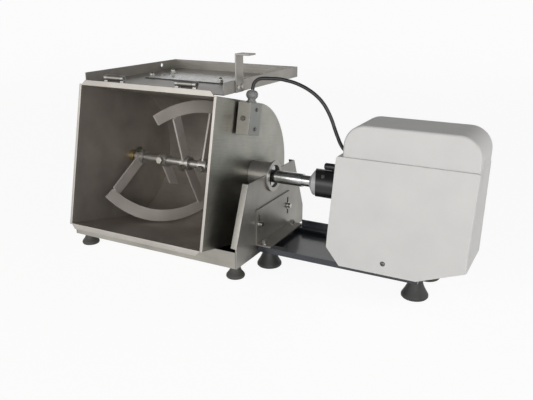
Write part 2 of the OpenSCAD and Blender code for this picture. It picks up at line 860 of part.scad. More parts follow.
// Tube that carries the drive shaft from the gearbox to the cone, slanted at its front.
module shaft_tube() color("black") on_axle() difference() {
    tube_x(tube_start, case_x - tube_start, tube_r, tube_bore);
    bar_x(tube_start - overrun, mouth_slant + plug_gap + overrun, cone_out + run_gap);
    translate([0, 0, -tube_r - overrun]) linear_extrude(2 * tube_r + 2 * overrun)
        polygon([[tube_start - overrun, 0], [tube_start, 0], [tube_start + mouth_slant, -tube_r],
            [tube_start + mouth_slant, -tube_r - overrun], [tube_start - overrun, -tube_r - overrun]]);
    translate([knob_x, 0, 0]) cylinder(h = tube_r + overrun, r = knob_stem_r + run_gap);
    translate([tube_screw_x, 0, 0]) rotate([tube_screw_angle - 90, 0, 0])
        cylinder(h = tube_r + overrun, r = tube_screw_r + run_gap);
}

// Cone on the end of the tube, with the round body that fits in the tube's mouth.
module shaft_cone() color("lightgray") on_axle(cone_start) rotate([0, 90, 0]) difference() {
    union() {
        cylinder(h = cone_len, r1 = cone_r, r2 = cone_out);
        translate([0, 0, cone_len]) cylinder(h = mouth_slant, r = cone_out);
    }
    translate([0, 0, -overrun])
        cylinder(h = cone_len + mouth_slant + 2 * overrun, r = drive_neck_r + pass_gap);
}

module tube_screw() color("lightgray") on_axle(tube_screw_x) rotate([tube_screw_angle - 90, 0, 0]) {
    translate([0, 0, tube_bore + stem_clear]) cylinder(h = tube_r - tube_bore, r = tube_screw_r);
    translate([0, 0, tube_r]) cylinder(h = tube_screw_head_h, r = tube_screw_head_r);
}

// Bar handle whose stem locks the shaft tube.
module locking_knob() color("black") on_axle(knob_x) {
    translate([0, 0, tube_bore + stem_clear])
        cylinder(h = tube_r - tube_bore - stem_clear + knob_rise + knob_r, r = knob_stem_r);
    translate([0, 0, tube_r + knob_rise + knob_r]) rotate([0, 90, 0]) rotate_extrude()
        polygon([[0, -knob_len / 2], [knob_r - knob_end_r, -knob_len / 2],
            [knob_r, knob_end_r - knob_len / 2], [knob_r, knob_len / 2 - knob_end_r],
            [knob_r - knob_end_r, knob_len / 2], [0, knob_len / 2]]);
}

// Involute of a base circle at a roll angle, as a point.
function involute(base, roll) = [base * (cos(roll) + roll * PI / 180 * sin(roll)),
    base * (sin(roll) - roll * PI / 180 * cos(roll))];

// Roll angle at which the involute reaches a radius.
function roll_at(base, r) = sqrt(max(0, r * r / (base * base) - 1)) * 180 / PI;

// Turns a point about the origin.
function turned(p, a) = [p[0] * cos(a) - p[1] * sin(a), p[0] * sin(a) + p[1] * cos(a)];

// One flank of a tooth, from its root to its tip, on the side of a negative angle.
function flank(teeth, side) = let (pitch = gear_m * teeth / 2, base = pitch * cos(pressure),
    root = pitch - 1.25 * gear_m, tip = pitch + gear_m,
    meet = roll_at(base, pitch), at_pitch = involute(base, meet),
    half = 90 / teeth - backlash / pitch * 45 / PI,
    turn = atan2(at_pitch[1], at_pitch[0]) + half)
    concat(root < base ? [turned([root, 0], -side * turn)] : [],
        [for (k = [0:4]) let (r = max(base, root) + (tip - max(base, root)) * k / 4,
            p = involute(base, roll_at(base, r))) turned([p[0], side * p[1]], -side * turn)]);

// Outline of a spur gear with a tooth centred on the X direction.
module gear_outline(teeth) {
    polygon([for (i = [0:teeth - 1]) let (low = flank(teeth, 1), high = flank(teeth, -1), n = len(low))
        for (j = [0:2 * n - 1]) turned(j < n ? low[j] : high[2 * n - 1 - j], i * 360 / teeth)]);
}

// A gear on the shaft axis, its first tooth at an angle from front to up.
module gear(x0, w, teeth, phase, bore) {
    difference() {
        along_x(x0, w) rotate(phase) gear_outline(teeth);
        bar_x(x0 - overrun, w + 2 * overrun, bore);
    }
}

module case_outline(t) {
    circle(r = case_top_r - t);
    translate([0, -centre_dist]) circle(r = case_round - t);
    translate([-case_top_r + t, -centre_dist]) square([2 * (case_top_r - t), centre_dist]);
}

module gearbox_case() color("lightgray") on_axle() {
    difference() {
        union() {
            along_x(case_x, case_len) case_outline(0);
            translate([0, 0, tray_top - axle_z])
                block_y(case_x, 0, [case_len, case_foot_d, foot_plate_t]);
            translate([0, 0, tray_top - axle_z])
                block_y(case_x, 0, [case_len, case_round, case_round]);
        }
        along_x(case_x + case_wall, case_len) case_outline(case_wall);
        bar_x(case_x - overrun, bearing_w, bearing_out);
        translate([0, 0, -centre_dist]) bar_x(case_x + lay_seat, case_wall, lay_bearing_out);
    }
}

module gearbox_lid() color("lightgray") on_axle() difference() {
    along_x(case_x + case_len, case_wall) case_outline(0);
    bar_x(case_x + case_len - overrun, case_wall + 2 * overrun, motor_shaft_r + pass_gap);
    translate([0, 0, -centre_dist])
        bar_x(case_x + case_len - overrun, case_wall - lay_seat + overrun, lay_bearing_out);
}

module drive_bearings() color("silver") on_axle() for (x = [bearing_1, bearing_2])
    tube_x(x, bearing_w, bearing_out - run_gap / 5, drive_seat_r + run_gap);

module layshaft_bearings() color("silver") on_axle() translate([0, 0, -centre_dist])
    for (x = [case_x + lay_seat, case_x + case_len + case_wall - lay_seat - lay_bearing_w])
        tube_x(x, lay_bearing_w, lay_bearing_out - run_gap / 5, lay_r + run_gap);

module motor_case() color("dimgray") on_axle() {
    tube_x(motor_x, motor_len, motor_r, motor_r - shell_t);
    difference() {
        bar_x(motor_x, shell_t, motor_r - shell_t);
        bar_x(motor_x - overrun, shell_t + 2 * overrun, motor_bearing_out);
    }
    tube_x(motor_x, motor_bearing_w, motor_bearing_out + shell_t, motor_bearing_out);
}

module motor_end_shield() color("gray") on_axle() {
    difference() {
        bar_x(motor_end, shell_t, motor_r);
        bar_x(motor_end - overrun, shell_t + 2 * overrun, motor_bearing_out);
    }
    tube_x(motor_end + shell_t - motor_bearing_w, motor_bearing_w, motor_bearing_out + shell_t,
        motor_bearing_out);
}

module motor_bearings() color("silver") on_axle()
    for (x = [motor_x, motor_end + shell_t - motor_bearing_w])
        tube_x(x, motor_bearing_w, motor_bearing_out - run_gap / 5, motor_shaft_r + run_gap);

// Two saddle plates that carry the motor on the tray's lips.
module motor_cradle() color("gray") on_axle() difference() {
    for (x = [motor_x + 3 * cradle_w, motor_end - 5 * cradle_w])
        translate([0, 0, tray_top - axle_z])
            block_y(x, 0, [cradle_w, case_foot_d, axle_z - tray_top - motor_r / 2]);
    bar_x(motor_x, motor_len, motor_r + run_gap / 5);
}

module stator_core() color("slategray") on_axle()
    tube_x(core_x, core_len, motor_r - shell_t - run_gap / 5, stator_in);

module stator_windings() color("chocolate") on_axle()
    for (x = [core_x - winding_r, core_x + core_len + winding_r])
        translate([x, 0, 0]) rotate([0, 90, 0]) rotate_extrude()
            translate([(stator_in + motor_r - shell_t) / 2, 0]) circle(r = winding_r, $fn = 24);

// Rubber grommet where the sensor cable enters the cover.
module cable_grommet() color("black") place() translate([0, 0, cable_z]) difference() {
    union() {
        bar_x(grommet_x - grommet_t, grommet_t, grommet_r);
        bar_x(grommet_x, 2 * grommet_t, grommet_neck_r);
    }
    bar_x(grommet_x - grommet_t - overrun, 3 * grommet_t + 2 * overrun, cable_mouth_r);
}

// Fixed end eyes of the two lid hinges, on arms from the tub's wall.
module hinge_eyes() color("silver") tub_frame() translate([0, hinge_v, hinge_u])
    for (side = [-1, 1], end = [-1, 1]) {
        x0 = side * hinge_x + (end > 0 ? hinge_len / 2 - eye_len : -hinge_len / 2);
        difference() {
            union() {
                bar_x(x0, eye_len, hinge_r);
                translate([x0, -hinge_out, -leaf_t]) cube([eye_len, hinge_out, 2 * leaf_t]);
            }
            bar_x(x0 - overrun, eye_len + 2 * overrun, hinge_pin_r);
        }
    }

module hinge_pins() color("silver") tub_frame() translate([0, hinge_v, hinge_u])
    for (side = [-1, 1]) bar_x(side * hinge_x - hinge_len / 2, hinge_len, hinge_pin_r);

// Bracket that holds the sensor box off the tub's right end plate.
module switch_bracket() color("silver") tub_frame() {
    translate([switch_x, switch_v, bracket_face_u - plate_t]) cube([sensor_w + plate_t, sensor_len, plate_t]);
    translate([switch_x, switch_v, switch_box_u]) cube([plate_t, sensor_len, sensor_d + plate_t / 2]);
    for (v = [switch_v + sensor_len / 6, switch_v + sensor_len * 4 / 6])
        translate([tub_w / 2, v, switch_box_u]) cube([switch_x - tub_w / 2, sensor_len / 6, sensor_d / 3]);
}

module switch_box() color("gray") tub_frame()
    translate([switch_x + plate_t, switch_v, switch_box_u]) cube([sensor_w, sensor_len, sensor_d]);

module switch_screws() color("lightgray") tub_frame() {
    for (v = [switch_v + sensor_len / 5, switch_v + sensor_len * 4 / 5])
        translate([0, v, switch_box_u + sensor_d / 2])
            bar_x(switch_x + plate_t + sensor_w, screw_head_h, small_head_r);
    translate([switch_x + sensor_w / 2, switch_v + sensor_len / 2, bracket_face_u])
        cylinder(h = screw_head_h, r = screw_head_r);
}

// Gland on the sensor box, which points up the mouth.
module cable_gland() color("gray") tub_frame() translate([gland_x, switch_top, gland_u]) rotate([-90, 0, 0])
    difference() {
        union() {
            hex_head(gland_r - gland_step, gland_hex_h);
            translate([0, 0, gland_hex_h]) cylinder(h = gland_nut_h, r = gland_r - gland_step / 2);
            translate([0, 0, gland_hex_h + gland_nut_h])
                cylinder(h = gland_tip_h, r1 = gland_r - gland_step, r2 = cable_r + gland_lip);
        }
        translate([0, 0, gland_hex_h]) cylinder(h = gland_nut_h + gland_tip_h + overrun, r = cable_mouth_r);
    }

// Lid: a sheet with rims on three sides, hinge leaves and the window opening.
module lid_panel() color("gainsboro") lid_frame() {
    difference() {
        union() {
            translate([-lid_half, -lid_len, lid_depth]) cube([2 * lid_half, lid_len - lid_edge_s, lid_sheet]);
            both_sides() translate([lid_half - lid_sheet, -lid_len, rim_depth])
                cube([lid_sheet, lid_len - lid_edge_s, lid_rim]);
            translate([-lid_half, -lid_len, rim_depth]) cube([2 * lid_half, lid_sheet, lid_rim]);
        }
        translate([window_x - window_w / 2 + window_border, -window_s - window_d / 2 + window_border,
            lid_depth - overrun])
            cube([window_w - 2 * window_border, window_d - 2 * window_border, lid_sheet + 2 * overrun]);
        translate([0, -lid_hole_s, lid_hole_depth])
            bar_x(-lid_half - overrun, lid_sheet + 2 * overrun, lid_hole_r);
    }
    for (side = [-1, 1]) difference() {
        x0 = side * hinge_x - hinge_len / 2 + eye_len + eye_gap;
        knuckle = hinge_len - 2 * eye_len - 2 * eye_gap;
        union() {
            bar_x(x0, knuckle, hinge_r);
            translate([x0, -lid_edge_s - leaf_t, 0]) cube([knuckle, leaf_t, lid_depth]);
        }
        bar_x(x0 - overrun, knuckle + 2 * overrun, hinge_pin_r + run_gap);
    }
}

module at_window_studs() {
    for (x = [-1, 1], s = [-1, 1])
        translate([window_x + x * (window_w / 2 - stud_inset),
            -window_s + s * (window_d / 2 - stud_inset), 0])
            children();
}

module lid_window() color([0.9, 0.95, 0.97, 0.5]) lid_frame() difference() {
    translate([window_x - window_w / 2, -window_s - window_d / 2, lid_depth - window_t])
        cube([window_w, window_d, window_t]);
    at_window_studs() translate([0, 0, lid_depth - window_t - overrun])
        cylinder(h = window_t + 2 * overrun, r = stud_r + run_gap);
}

// Welded studs with dome nuts that hold the window.
module window_nuts() color("lightgray") lid_frame() at_window_studs() {
    translate([0, 0, lid_depth - window_t]) cylinder(h = window_t, r = stud_r);
    translate([0, 0, lid_depth - window_t - dome_nut_h]) hex_head(dome_nut_r, dome_nut_h);
    translate([0, 0, lid_depth - window_t - dome_nut_h]) intersection() {
        sphere(r = dome_nut_r * dome_share, $fn = 24);
        translate([-dome_nut_r, -dome_nut_r, -dome_nut_r]) cube([2 * dome_nut_r, 2 * dome_nut_r, dome_nut_r]);
    }
}

module lid_strap() color("silver") lid_frame()
    translate([lid_half, -strap_s - strap_w, lid_top_depth - strap_h]) {
    cube([strap_t, strap_w, strap_h]);
    cube([strap_tab, strap_w, strap_t]);
}

module strap_rivets() color("lightgray") lid_frame()
    for (s = [-1, 1])
        translate([lid_half + strap_t, -strap_s - strap_w / 2 + s * rivet_pitch / 2, rivet_depth]) {
        bar_x(0, rivet_head_h, rivet_head_r);
    }

// Mixing shaft with a flat tongue for the drive dog.
module mixing_shaft() color("gainsboro") on_axle() {
    bar_x(shaft_left, tongue_root - shaft_left, shaft_r);
    intersection() {
        bar_x(tongue_root, tongue_end - tongue_root, shaft_r);
        translate([tongue_root, -shaft_r, -tongue_t / 2])
            cube([tongue_end - tongue_root, 2 * shaft_r, tongue_t]);
    }
}

module hub_collars() color("gainsboro") on_axle() for (i = [0:len(hub_places) - 1])
    difference() {
        tube_x(hub_places[i] - hub_len / 2, hub_len, hub_r, shaft_r + run_gap / 5);
        translate([hub_places[i], 0, 0]) rotate([bolt_angles[i] - 90, 0, 0])
            cylinder(h = 2 * hub_r, r = hub_bolt_r + run_gap / 5);
    }

module hub_bolts() color("lightgray") on_axle() for (i = [0:len(hub_places) - 1])
    translate([hub_places[i], 0, 0]) rotate([bolt_angles[i] - 90, 0, 0])
        translate([0, 0, hub_r + hub_bolt_rise])
            hex_bolt(hub_bolt_r, hub_r + hub_bolt_rise - shaft_r - 2 * run_gap,
                hub_bolt_head_r, hub_bolt_head_h);

// Flat arms from the hubs to the blades, and the short pointed paddle.
module blade_arms() color("gray") on_axle() {
    for (arm = arms) difference() {
        intersection() {
            translate([hub_places[arm[0]] - arm_t / 2, 0, 0]) rotate([arm[1], 0, 0])
                translate([0, 0, -arm_w / 2]) cube([arm_t, blade_out, arm_w]);
            bar_x(-tub_w, 2 * tub_w, blade_in - run_gap);
        }
        bar_x(-tub_w, 2 * tub_w, hub_r + run_gap / 5);
    }
    difference() {
        translate([hub_places[1] - arm_t / 2, 0, 0]) rotate([paddle_angle, 0, 0]) along_x(0, arm_t)
            polygon([[0, -arm_w / 2], [paddle_reach - arm_w, -arm_w / 2], [paddle_reach, arm_w / 2],
                [0, arm_w / 2]]);
        bar_x(-tub_w, 2 * tub_w, hub_r + run_gap / 5);
    }
}

// A helical ribbon: start place, start angle, turn and hand, in rings of four corners.
module helix_blade(x0, a0, turn, hand) {
    rings = [for (i = [0:blade_steps]) let (a = a0 + hand * turn * i / blade_steps,
        x = x0 + blade_lead * turn / 360 * i / blade_steps)
        for (c = [[blade_in, 0], [blade_out, 0], [blade_out, blade_t], [blade_in, blade_t]])
            [x + c[1] - blade_t / 2, c[0] * cos(a), c[0] * sin(a)]];
    last = 4 * blade_steps;
    sides = [for (i = [0:blade_steps - 1], c = [0:3]) let (p = 4 * i, q = 4 * i + 4, d = (c + 1) % 4)
        each [[p + c, p + d, q + d], [p + c, q + d, q + c]]];
    ends = [[2, 1, 0], [3, 2, 0], [last, last + 1, last + 2], [last, last + 2, last + 3]];
    faces = concat(sides, ends);
    polyhedron(points = rings, faces = hand > 0 ? [for (f = faces) [f[2], f[1], f[0]]] : faces);
}

module lower_blade() color("gray") on_axle() helix_blade(lower_x, lower_start, lower_turn, 1);

module upper_blade() color("gray") on_axle() helix_blade(upper_x, upper_start, upper_turn, -1);

// Drive shaft: slotted dog, thick part, neck and the seat in its bearings.
module drive_shaft() color("gainsboro") on_axle() {
    difference() {
        union() {
            intersection() {
                bar_x(dog_start, dog_w, dog_r);
                block_y(dog_start, -dog_r, [dog_w, claw_w, 2 * dog_r]);
            }
            bar_x(dog_start, drive_end - dog_start, drive_r);
        }
        translate([dog_start - overrun, -shaft_r - pass_gap, -tongue_t / 2 - pass_gap])
            cube([dog_w - dog_floor + overrun + pass_gap, 2 * shaft_r + 2 * pass_gap,
                tongue_t + 2 * pass_gap]);
    }
    bar_x(drive_end, neck_stop - drive_end, drive_neck_r);
    bar_x(neck_stop, gear_1_x + gear_1_w - neck_stop, drive_seat_r);
}

module output_gear() color("dimgray") on_axle() {
    gear(gear_1_x, gear_1_w, wheel_1, -90, drive_seat_r);
}

// Layshaft with its wheel and pinion, in one piece.
module layshaft() color("dimgray") on_axle() translate([0, 0, -centre_dist]) {
    bar_x(case_x + 2 * lay_seat, case_len + case_wall - 4 * lay_seat, lay_r);
    gear(gear_1_x - gear_extra / 2, gear_1_w + gear_extra, pinion_1, 90 + 180 / pinion_1, lay_r - fuse_lap);
    gear(gear_2_x, gear_2_w, wheel_2, 90 + 180 / wheel_2, lay_r - fuse_lap);
}

// Rotor on its shaft, with the cut pinion.
module motor_rotor() color("slategray") on_axle() {
    bar_x(core_x, core_len, stator_in - air_gap);
    bar_x(case_x + case_len - rotor_in, fan_x + fan_w - case_x - case_len + rotor_in, motor_shaft_r);
    bar_x(gear_2_x - gear_extra / 2, case_x + case_len - gear_2_x, pinion_core);
    gear(gear_2_x - gear_extra / 2, gear_2_w + gear_extra, pinion_2, -90, pinion_core - fuse_lap);
}

module cooling_fan() color("black") on_axle() {
    tube_x(fan_x, fan_w, motor_shaft_r + fan_w / 2, motor_shaft_r + run_gap / 5);
    tube_x(fan_x, fan_w / 4, fan_r, motor_shaft_r + fan_w / 2 - fuse_lap);
    for (i = [0:fan_blades - 1]) rotate([i * 360 / fan_blades, 0, 0])
        translate([fan_x, motor_shaft_r + fan_w / 3, -fan_w / 8])
            cube([fan_w, fan_r - motor_shaft_r - fan_w / 2, fan_w / 4]);
}

// Tangent of the route at a point.
function route_way(p, i) = let (d = p[min(i + 1, len(p) - 1)] - p[max(i - 1, 0)]) d / norm(d);

// Ring of a swept tube, square to the route.
function cable_ring(p, i, r) = let (w = route_way(p, i), across = cross(w, [0, 1, 0]),
    side = across / norm(across),
    up = cross(side, w))
    [for (k = [0:cable_sides - 1]) let (a = k * 360 / cable_sides) p[i] + r * (cos(a) * side + sin(a) * up)];

module sensor_cable() color("black") place() {
    n = cable_sides;
    count = len(cable_route);
    points = [for (i = [0:count - 1]) each cable_ring(cable_route, i, cable_r)];
    sides = [for (i = [0:count - 2], k = [0:n - 1]) let (a = i * n + k, b = i * n + (k + 1) % n)
        each [[a, b, b + n], [a, b + n, a + n]]];
    ends = [[for (k = [n - 1:-1:0]) k], [for (k = [0:n - 1]) (count - 1) * n + k]];
    polyhedron(points = points, faces = [for (f = concat(sides, ends)) [for (j = [len(f) - 1:-1:0]) f[j]]]);
}

base_pan();
left_upright();
right_upright();
base_feet();
foot_bolts();
saddle_liners();
mount_bracket();
bracket_screws();
shelf_bolts();
motor_tray();
motor_feet();
motor_cover();
cover_brackets();
cover_screws();
shaft_tube();
shaft_cone();
tube_screw();
locking_knob();
gearbox_case();
gearbox_lid();
drive_bearings();
layshaft_bearings();
motor_case();
motor_end_shield();
motor_cradle();
stator_core();
stator_windings();
motor_bearings();
cable_grommet();
tub_shell();
left_end_plate();
right_end_plate();
left_trunnion();
right_trunnion();
trunnion_cap();
shaft_bushes();
shaft_seals();
hinge_eyes();
hinge_pins();
switch_bracket();
switch_box();
switch_screws();
cable_gland();
lid_panel();
lid_window();
window_nuts();
lid_strap();
strap_rivets();
mixing_shaft();
hub_collars();
blade_arms();
lower_blade();
upper_blade();
hub_bolts();
drive_shaft();
output_gear();
layshaft();
motor_rotor();
cooling_fan();
sensor_cable();
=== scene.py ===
"""Dresses a tilting meat mixer: a stainless tub on its frame, and a covered drive unit beside it."""
import json
import logging
import math
from contextlib import contextmanager
from dataclasses import dataclass
from enum import Enum
from typing import Callable, Iterator, Sequence, Union

import bpy
from mathutils import Matrix, Vector


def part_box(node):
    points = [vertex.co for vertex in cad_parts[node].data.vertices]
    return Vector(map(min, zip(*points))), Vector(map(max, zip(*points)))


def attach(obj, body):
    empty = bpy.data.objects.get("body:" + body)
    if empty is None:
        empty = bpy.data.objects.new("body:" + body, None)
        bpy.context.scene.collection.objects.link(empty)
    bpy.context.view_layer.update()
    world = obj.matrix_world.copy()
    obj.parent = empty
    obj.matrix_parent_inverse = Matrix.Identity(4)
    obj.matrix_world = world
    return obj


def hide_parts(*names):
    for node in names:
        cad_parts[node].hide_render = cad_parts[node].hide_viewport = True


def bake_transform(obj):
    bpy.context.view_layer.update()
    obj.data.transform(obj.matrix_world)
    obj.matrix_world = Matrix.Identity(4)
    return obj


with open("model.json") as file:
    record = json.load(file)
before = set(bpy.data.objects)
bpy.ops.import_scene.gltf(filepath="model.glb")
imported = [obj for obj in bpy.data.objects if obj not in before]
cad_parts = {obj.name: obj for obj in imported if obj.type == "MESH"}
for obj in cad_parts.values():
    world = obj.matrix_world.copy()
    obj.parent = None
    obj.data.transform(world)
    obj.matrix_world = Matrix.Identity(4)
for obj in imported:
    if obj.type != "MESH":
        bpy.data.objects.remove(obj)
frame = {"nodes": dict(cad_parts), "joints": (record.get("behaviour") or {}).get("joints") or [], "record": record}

logging.basicConfig(level=logging.INFO, format="%(message)s")
LOG = logging.getLogger("meat_mixer")
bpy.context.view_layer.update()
MM = 0.001
SLOTS = {part["node"]: part["material_slot"] for part in frame["record"]["subparts"]}
JOINTS = {joint["name"]: joint for joint in frame["joints"]}
AXLE = Vector(JOINTS["tub_tilt"]["pos_m"])
# The tub's mouth leans forward by this angle, so its own up and out directions are these.
TILT = math.radians(77.0)
MOUTH_OUT = Vector((0.0, -math.sin(TILT), math.cos(TILT)))
MOUTH_UP = Vector((0.0, math.cos(TILT), math.sin(TILT)))
SHAFT = Vector((1.0, 0.0, 0.0))
# Vertices closer than this are one, and faces flatter than this to each other are one.
WELD = 0.002 * MM
FLAT = math.radians(0.4)
CREASE = math.radians(32.0)
WHITE = (1.0, 1.0, 1.0, 1.0)

# Each foot's outline from the floor up, as shares of its radius and of its height.
MIXER_FOOT = ((0.82, 0.0), (0.94, 0.02), (1.0, 0.09), (1.0, 0.17), (0.96, 0.24), (0.84, 0.34),
              (0.7, 0.46), (0.6, 0.6), (0.545, 0.76), (0.525, 0.93), (0.5, 1.0))
DRIVE_FOOT = ((0.8, 0.0), (0.93, 0.015), (1.0, 0.07), (1.0, 0.15), (0.975, 0.19), (0.86, 0.32),
              (0.73, 0.47), (0.62, 0.62), (0.55, 0.76), (0.51, 0.9), (0.49, 1.0))
# How far apart the feet of each unit stand, along the shaft and across it, in metres.
MIXER_SPANS = (0.352, 0.238)
DRIVE_SPANS = (0.284, 0.086)

SocketValue = Union[float, tuple, bpy.types.NodeSocket]


def linear(colour: str) -> tuple[float, float, float, float]:
    """Turns an sRGB hex colour to linear light.

    Args:
        colour: the colour as #RRGGBB.

    Returns:
        Red, green, blue and an alpha of one.
    """
    parts = [int(colour[i:i + 2], 16) / 255.0 for i in (1, 3, 5)]
    red, green, blue = (c / 12.92 if c <= 0.04045 else ((c + 0.055) / 1.055) ** 2.4 for c in parts)
    return red, green, blue, 1.0


def add_node(tree: bpy.types.NodeTree, kind: str, settings: dict[str, object],
             inputs: dict[Union[str, int], SocketValue]) -> bpy.types.Node:
    """Adds a node with its settings, values and links.

    Args:
        tree: the node tree.
        kind: the node's type name.
        settings: the node's own properties.
        inputs: for each input socket, a value or the output socket that feeds it.

    Returns:
        The new node.
    """
    node = tree.nodes.new(kind)
    for name, value in settings.items():
        setattr(node, name, value)
    for name, value in inputs.items():
        if isinstance(value, bpy.types.NodeSocket):
            tree.links.new(value, node.inputs[name])
        else:
            node.inputs[name].default_value = value
    return node


class Grain(Enum):
    """Which way fine lines run on a surface. Each is 1 along the lines and 0 across them."""

    ALONG_SHAFT = (1.0, 0.0, 0.0)
    UPRIGHT = (0.0, 0.0, 1.0)
    ROUND_SHAFT = (0.0, 1.0, 1.0)
    LEVEL_RINGS = (1.0, 1.0, 0.0)


@dataclass(frozen=True)
class Finish:
    """A finish has a name, and makes its material once."""

    name: str

    def material(self) -> bpy.types.Material:
        """Returns the finish's material, which is made at the first call."""
        found = bpy.data.materials.get(self.name)
        if found is not None:
            return found
        made = bpy.data.materials.new(self.name)
        made.use_nodes = True
        shader = made.node_tree.nodes["Principled BSDF"]
        self.build(made.node_tree, shader)
        return made

    def build(self, tree: bpy.types.NodeTree, shader: bpy.types.Node) -> None:
        """Fills in the material. Each finish has its own way.

        Args:
            tree: the material's node tree.
            shader: its main shader.
        """
        raise NotImplementedError

    def clouds(self, tree: bpy.types.NodeTree, size: float, detail: float) -> bpy.types.NodeSocket:
        """Adds soft unevenness.

        Args:
            tree: the node tree.
            size: width of one cloud in metres.
            detail: how many finer layers it has.

        Returns:
            The height, from 0 to 1.
        """
        place = add_node(tree, "ShaderNodeTexCoord", {}, {})
        noise = add_node(tree, "ShaderNodeTexNoise", {}, {
            "Vector": place.outputs["Object"], "Scale": 1.0 / size, "Detail": detail})
        return noise.outputs["Fac"]


@dataclass(frozen=True)
class BrushedSteel(Finish):
    """Stainless sheet or bar with a brushed or turned surface: fine lines one way, soft highlights."""

    dull: str
    bright: str
    grain: Grain
    smooth: float = 0.30
    rough: float = 0.44
    # Real brush lines are about 0.1 mm apart, and are drawn coarser here so that they show.
    line_w: float = 0.7 * MM
    line_len: float = 42.0 * MM
    leaning: bool = False
    # Below 1 where a blasted or tumbled skin scatters light as paint does.
    metal: float = 1.0

    def build(self, tree: bpy.types.NodeTree, shader: bpy.types.Node) -> None:
        """Lines and clouds vary the colour and the roughness, and the lines give a slight relief."""
        scale = tuple(1.0 / self.line_len if along else 1.0 / self.line_w for along in self.grain.value)
        turn = (-TILT if self.leaning else 0.0, 0.0, 0.0)
        place = add_node(tree, "ShaderNodeTexCoord", {}, {})
        turned = add_node(tree, "ShaderNodeMapping", {}, {
            "Vector": place.outputs["Object"], "Rotation": turn})
        mapped = add_node(tree, "ShaderNodeMapping", {}, {"Vector": turned.outputs[0], "Scale": scale})
        lines = add_node(tree, "ShaderNodeTexNoise", {}, {
            "Vector": mapped.outputs[0], "Scale": 1.0, "Detail": 3.0, "Roughness": 0.65})
        clouds = self.clouds(tree, 70.0 * MM, 3.0)
        blend = add_node(tree, "ShaderNodeMath", {"operation": "MULTIPLY_ADD"}, {
            0: lines.outputs["Fac"], 1: 0.45, 2: 0.0})
        both = add_node(tree, "ShaderNodeMath", {"operation": "MULTIPLY_ADD"}, {
            0: clouds, 1: 0.55, 2: blend.outputs[0]})
        spread = add_node(tree, "ShaderNodeMapRange", {}, {
            "Value": both.outputs[0], "From Min": 0.32, "From Max": 0.68})
        colour = add_node(tree, "ShaderNodeMix", {"data_type": "RGBA"}, {
            "Factor": spread.outputs[0], 6: linear(self.dull), 7: linear(self.bright)})
        gloss = add_node(tree, "ShaderNodeMapRange", {}, {
            "Value": lines.outputs["Fac"], "From Min": 0.3, "From Max": 0.7,
            "To Min": self.smooth, "To Max": self.rough})
        relief = add_node(tree, "ShaderNodeBump", {}, {
            "Height": lines.outputs["Fac"], "Strength": 0.25, "Distance": 0.05 * MM})
        tree.links.new(colour.outputs[2], shader.inputs["Base Color"])
        tree.links.new(gloss.outputs[0], shader.inputs["Roughness"])
        tree.links.new(relief.outputs[0], shader.inputs["Normal"])
        shader.inputs["Metallic"].default_value = self.metal


@dataclass(frozen=True)
class Moulded(Finish):
    """A moulded or coated surface with no metal in sight: even colour, a fine grain and some unevenness."""

    light: str
    shade: str
    roughness: float
    grain_w: float
    relief: float
    ior: float = 1.5
    coat: float = 0.0
    coat_roughness: float = 0.08

    def build(self, tree: bpy.types.NodeTree, shader: bpy.types.Node) -> None:
        """Clouds vary the colour a little, and a fine grain gives the relief and the roughness."""
        clouds = self.clouds(tree, 55.0 * MM, 4.0)
        colour = add_node(tree, "ShaderNodeMix", {"data_type": "RGBA"}, {
            "Factor": clouds, 6: linear(self.shade), 7: linear(self.light)})
        grain = self.clouds(tree, self.grain_w, 2.0)
        gloss = add_node(tree, "ShaderNodeMapRange", {}, {
            "Value": grain, "From Min": 0.25, "From Max": 0.75,
            "To Min": self.roughness * 0.88, "To Max": min(1.0, self.roughness * 1.12)})
        bump = add_node(tree, "ShaderNodeBump", {}, {
            "Height": grain, "Strength": self.relief, "Distance": self.grain_w * 0.3})
        tree.links.new(colour.outputs[2], shader.inputs["Base Color"])
        tree.links.new(gloss.outputs[0], shader.inputs["Roughness"])
        tree.links.new(bump.outputs[0], shader.inputs["Normal"])
        shader.inputs["IOR"].default_value = self.ior
        shader.inputs["Coat Weight"].default_value = self.coat
        shader.inputs["Coat Roughness"].default_value = self.coat_roughness


@dataclass(frozen=True)
class CastMetal(Finish):
    """Cast, cut or wound metal inside the drive: metallic, with a coarse uneven skin."""

    light: str
    dark: str
    roughness: float
    skin_w: float

    def build(self, tree: bpy.types.NodeTree, shader: bpy.types.Node) -> None:
        """One coarse noise drives the colour and the relief."""
        skin = self.clouds(tree, self.skin_w, 3.0)
        colour = add_node(tree, "ShaderNodeMix", {"data_type": "RGBA"}, {
            "Factor": skin, 6: linear(self.dark), 7: linear(self.light)})
        bump = add_node(tree, "ShaderNodeBump", {}, {
            "Height": skin, "Strength": 0.35, "Distance": self.skin_w * 0.2})
        tree.links.new(colour.outputs[2], shader.inputs["Base Color"])
        tree.links.new(bump.outputs[0], shader.inputs["Normal"])
        shader.inputs["Metallic"].default_value = 1.0
        shader.inputs["Roughness"].default_value = self.roughness


@dataclass(frozen=True)
class ClearSheet(Finish):
    """Acrylic sheet: smoked grey, with light scuffs that blur what lies behind."""

    tint: str

    def build(self, tree: bpy.types.NodeTree, shader: bpy.types.Node) -> None:
        """Scuffs vary the roughness."""
        scuffs = self.clouds(tree, 9.0 * MM, 5.0)
        gloss = add_node(tree, "ShaderNodeMapRange", {}, {
            "Value": scuffs, "From Min": 0.35, "From Max": 0.7, "To Min": 0.1, "To Max": 0.2})
        tree.links.new(gloss.outputs[0], shader.inputs["Roughness"])
        shader.inputs["Base Color"].default_value = linear(self.tint)
        shader.inputs["Transmission Weight"].default_value = 0.75
        shader.inputs["IOR"].default_value = 1.49


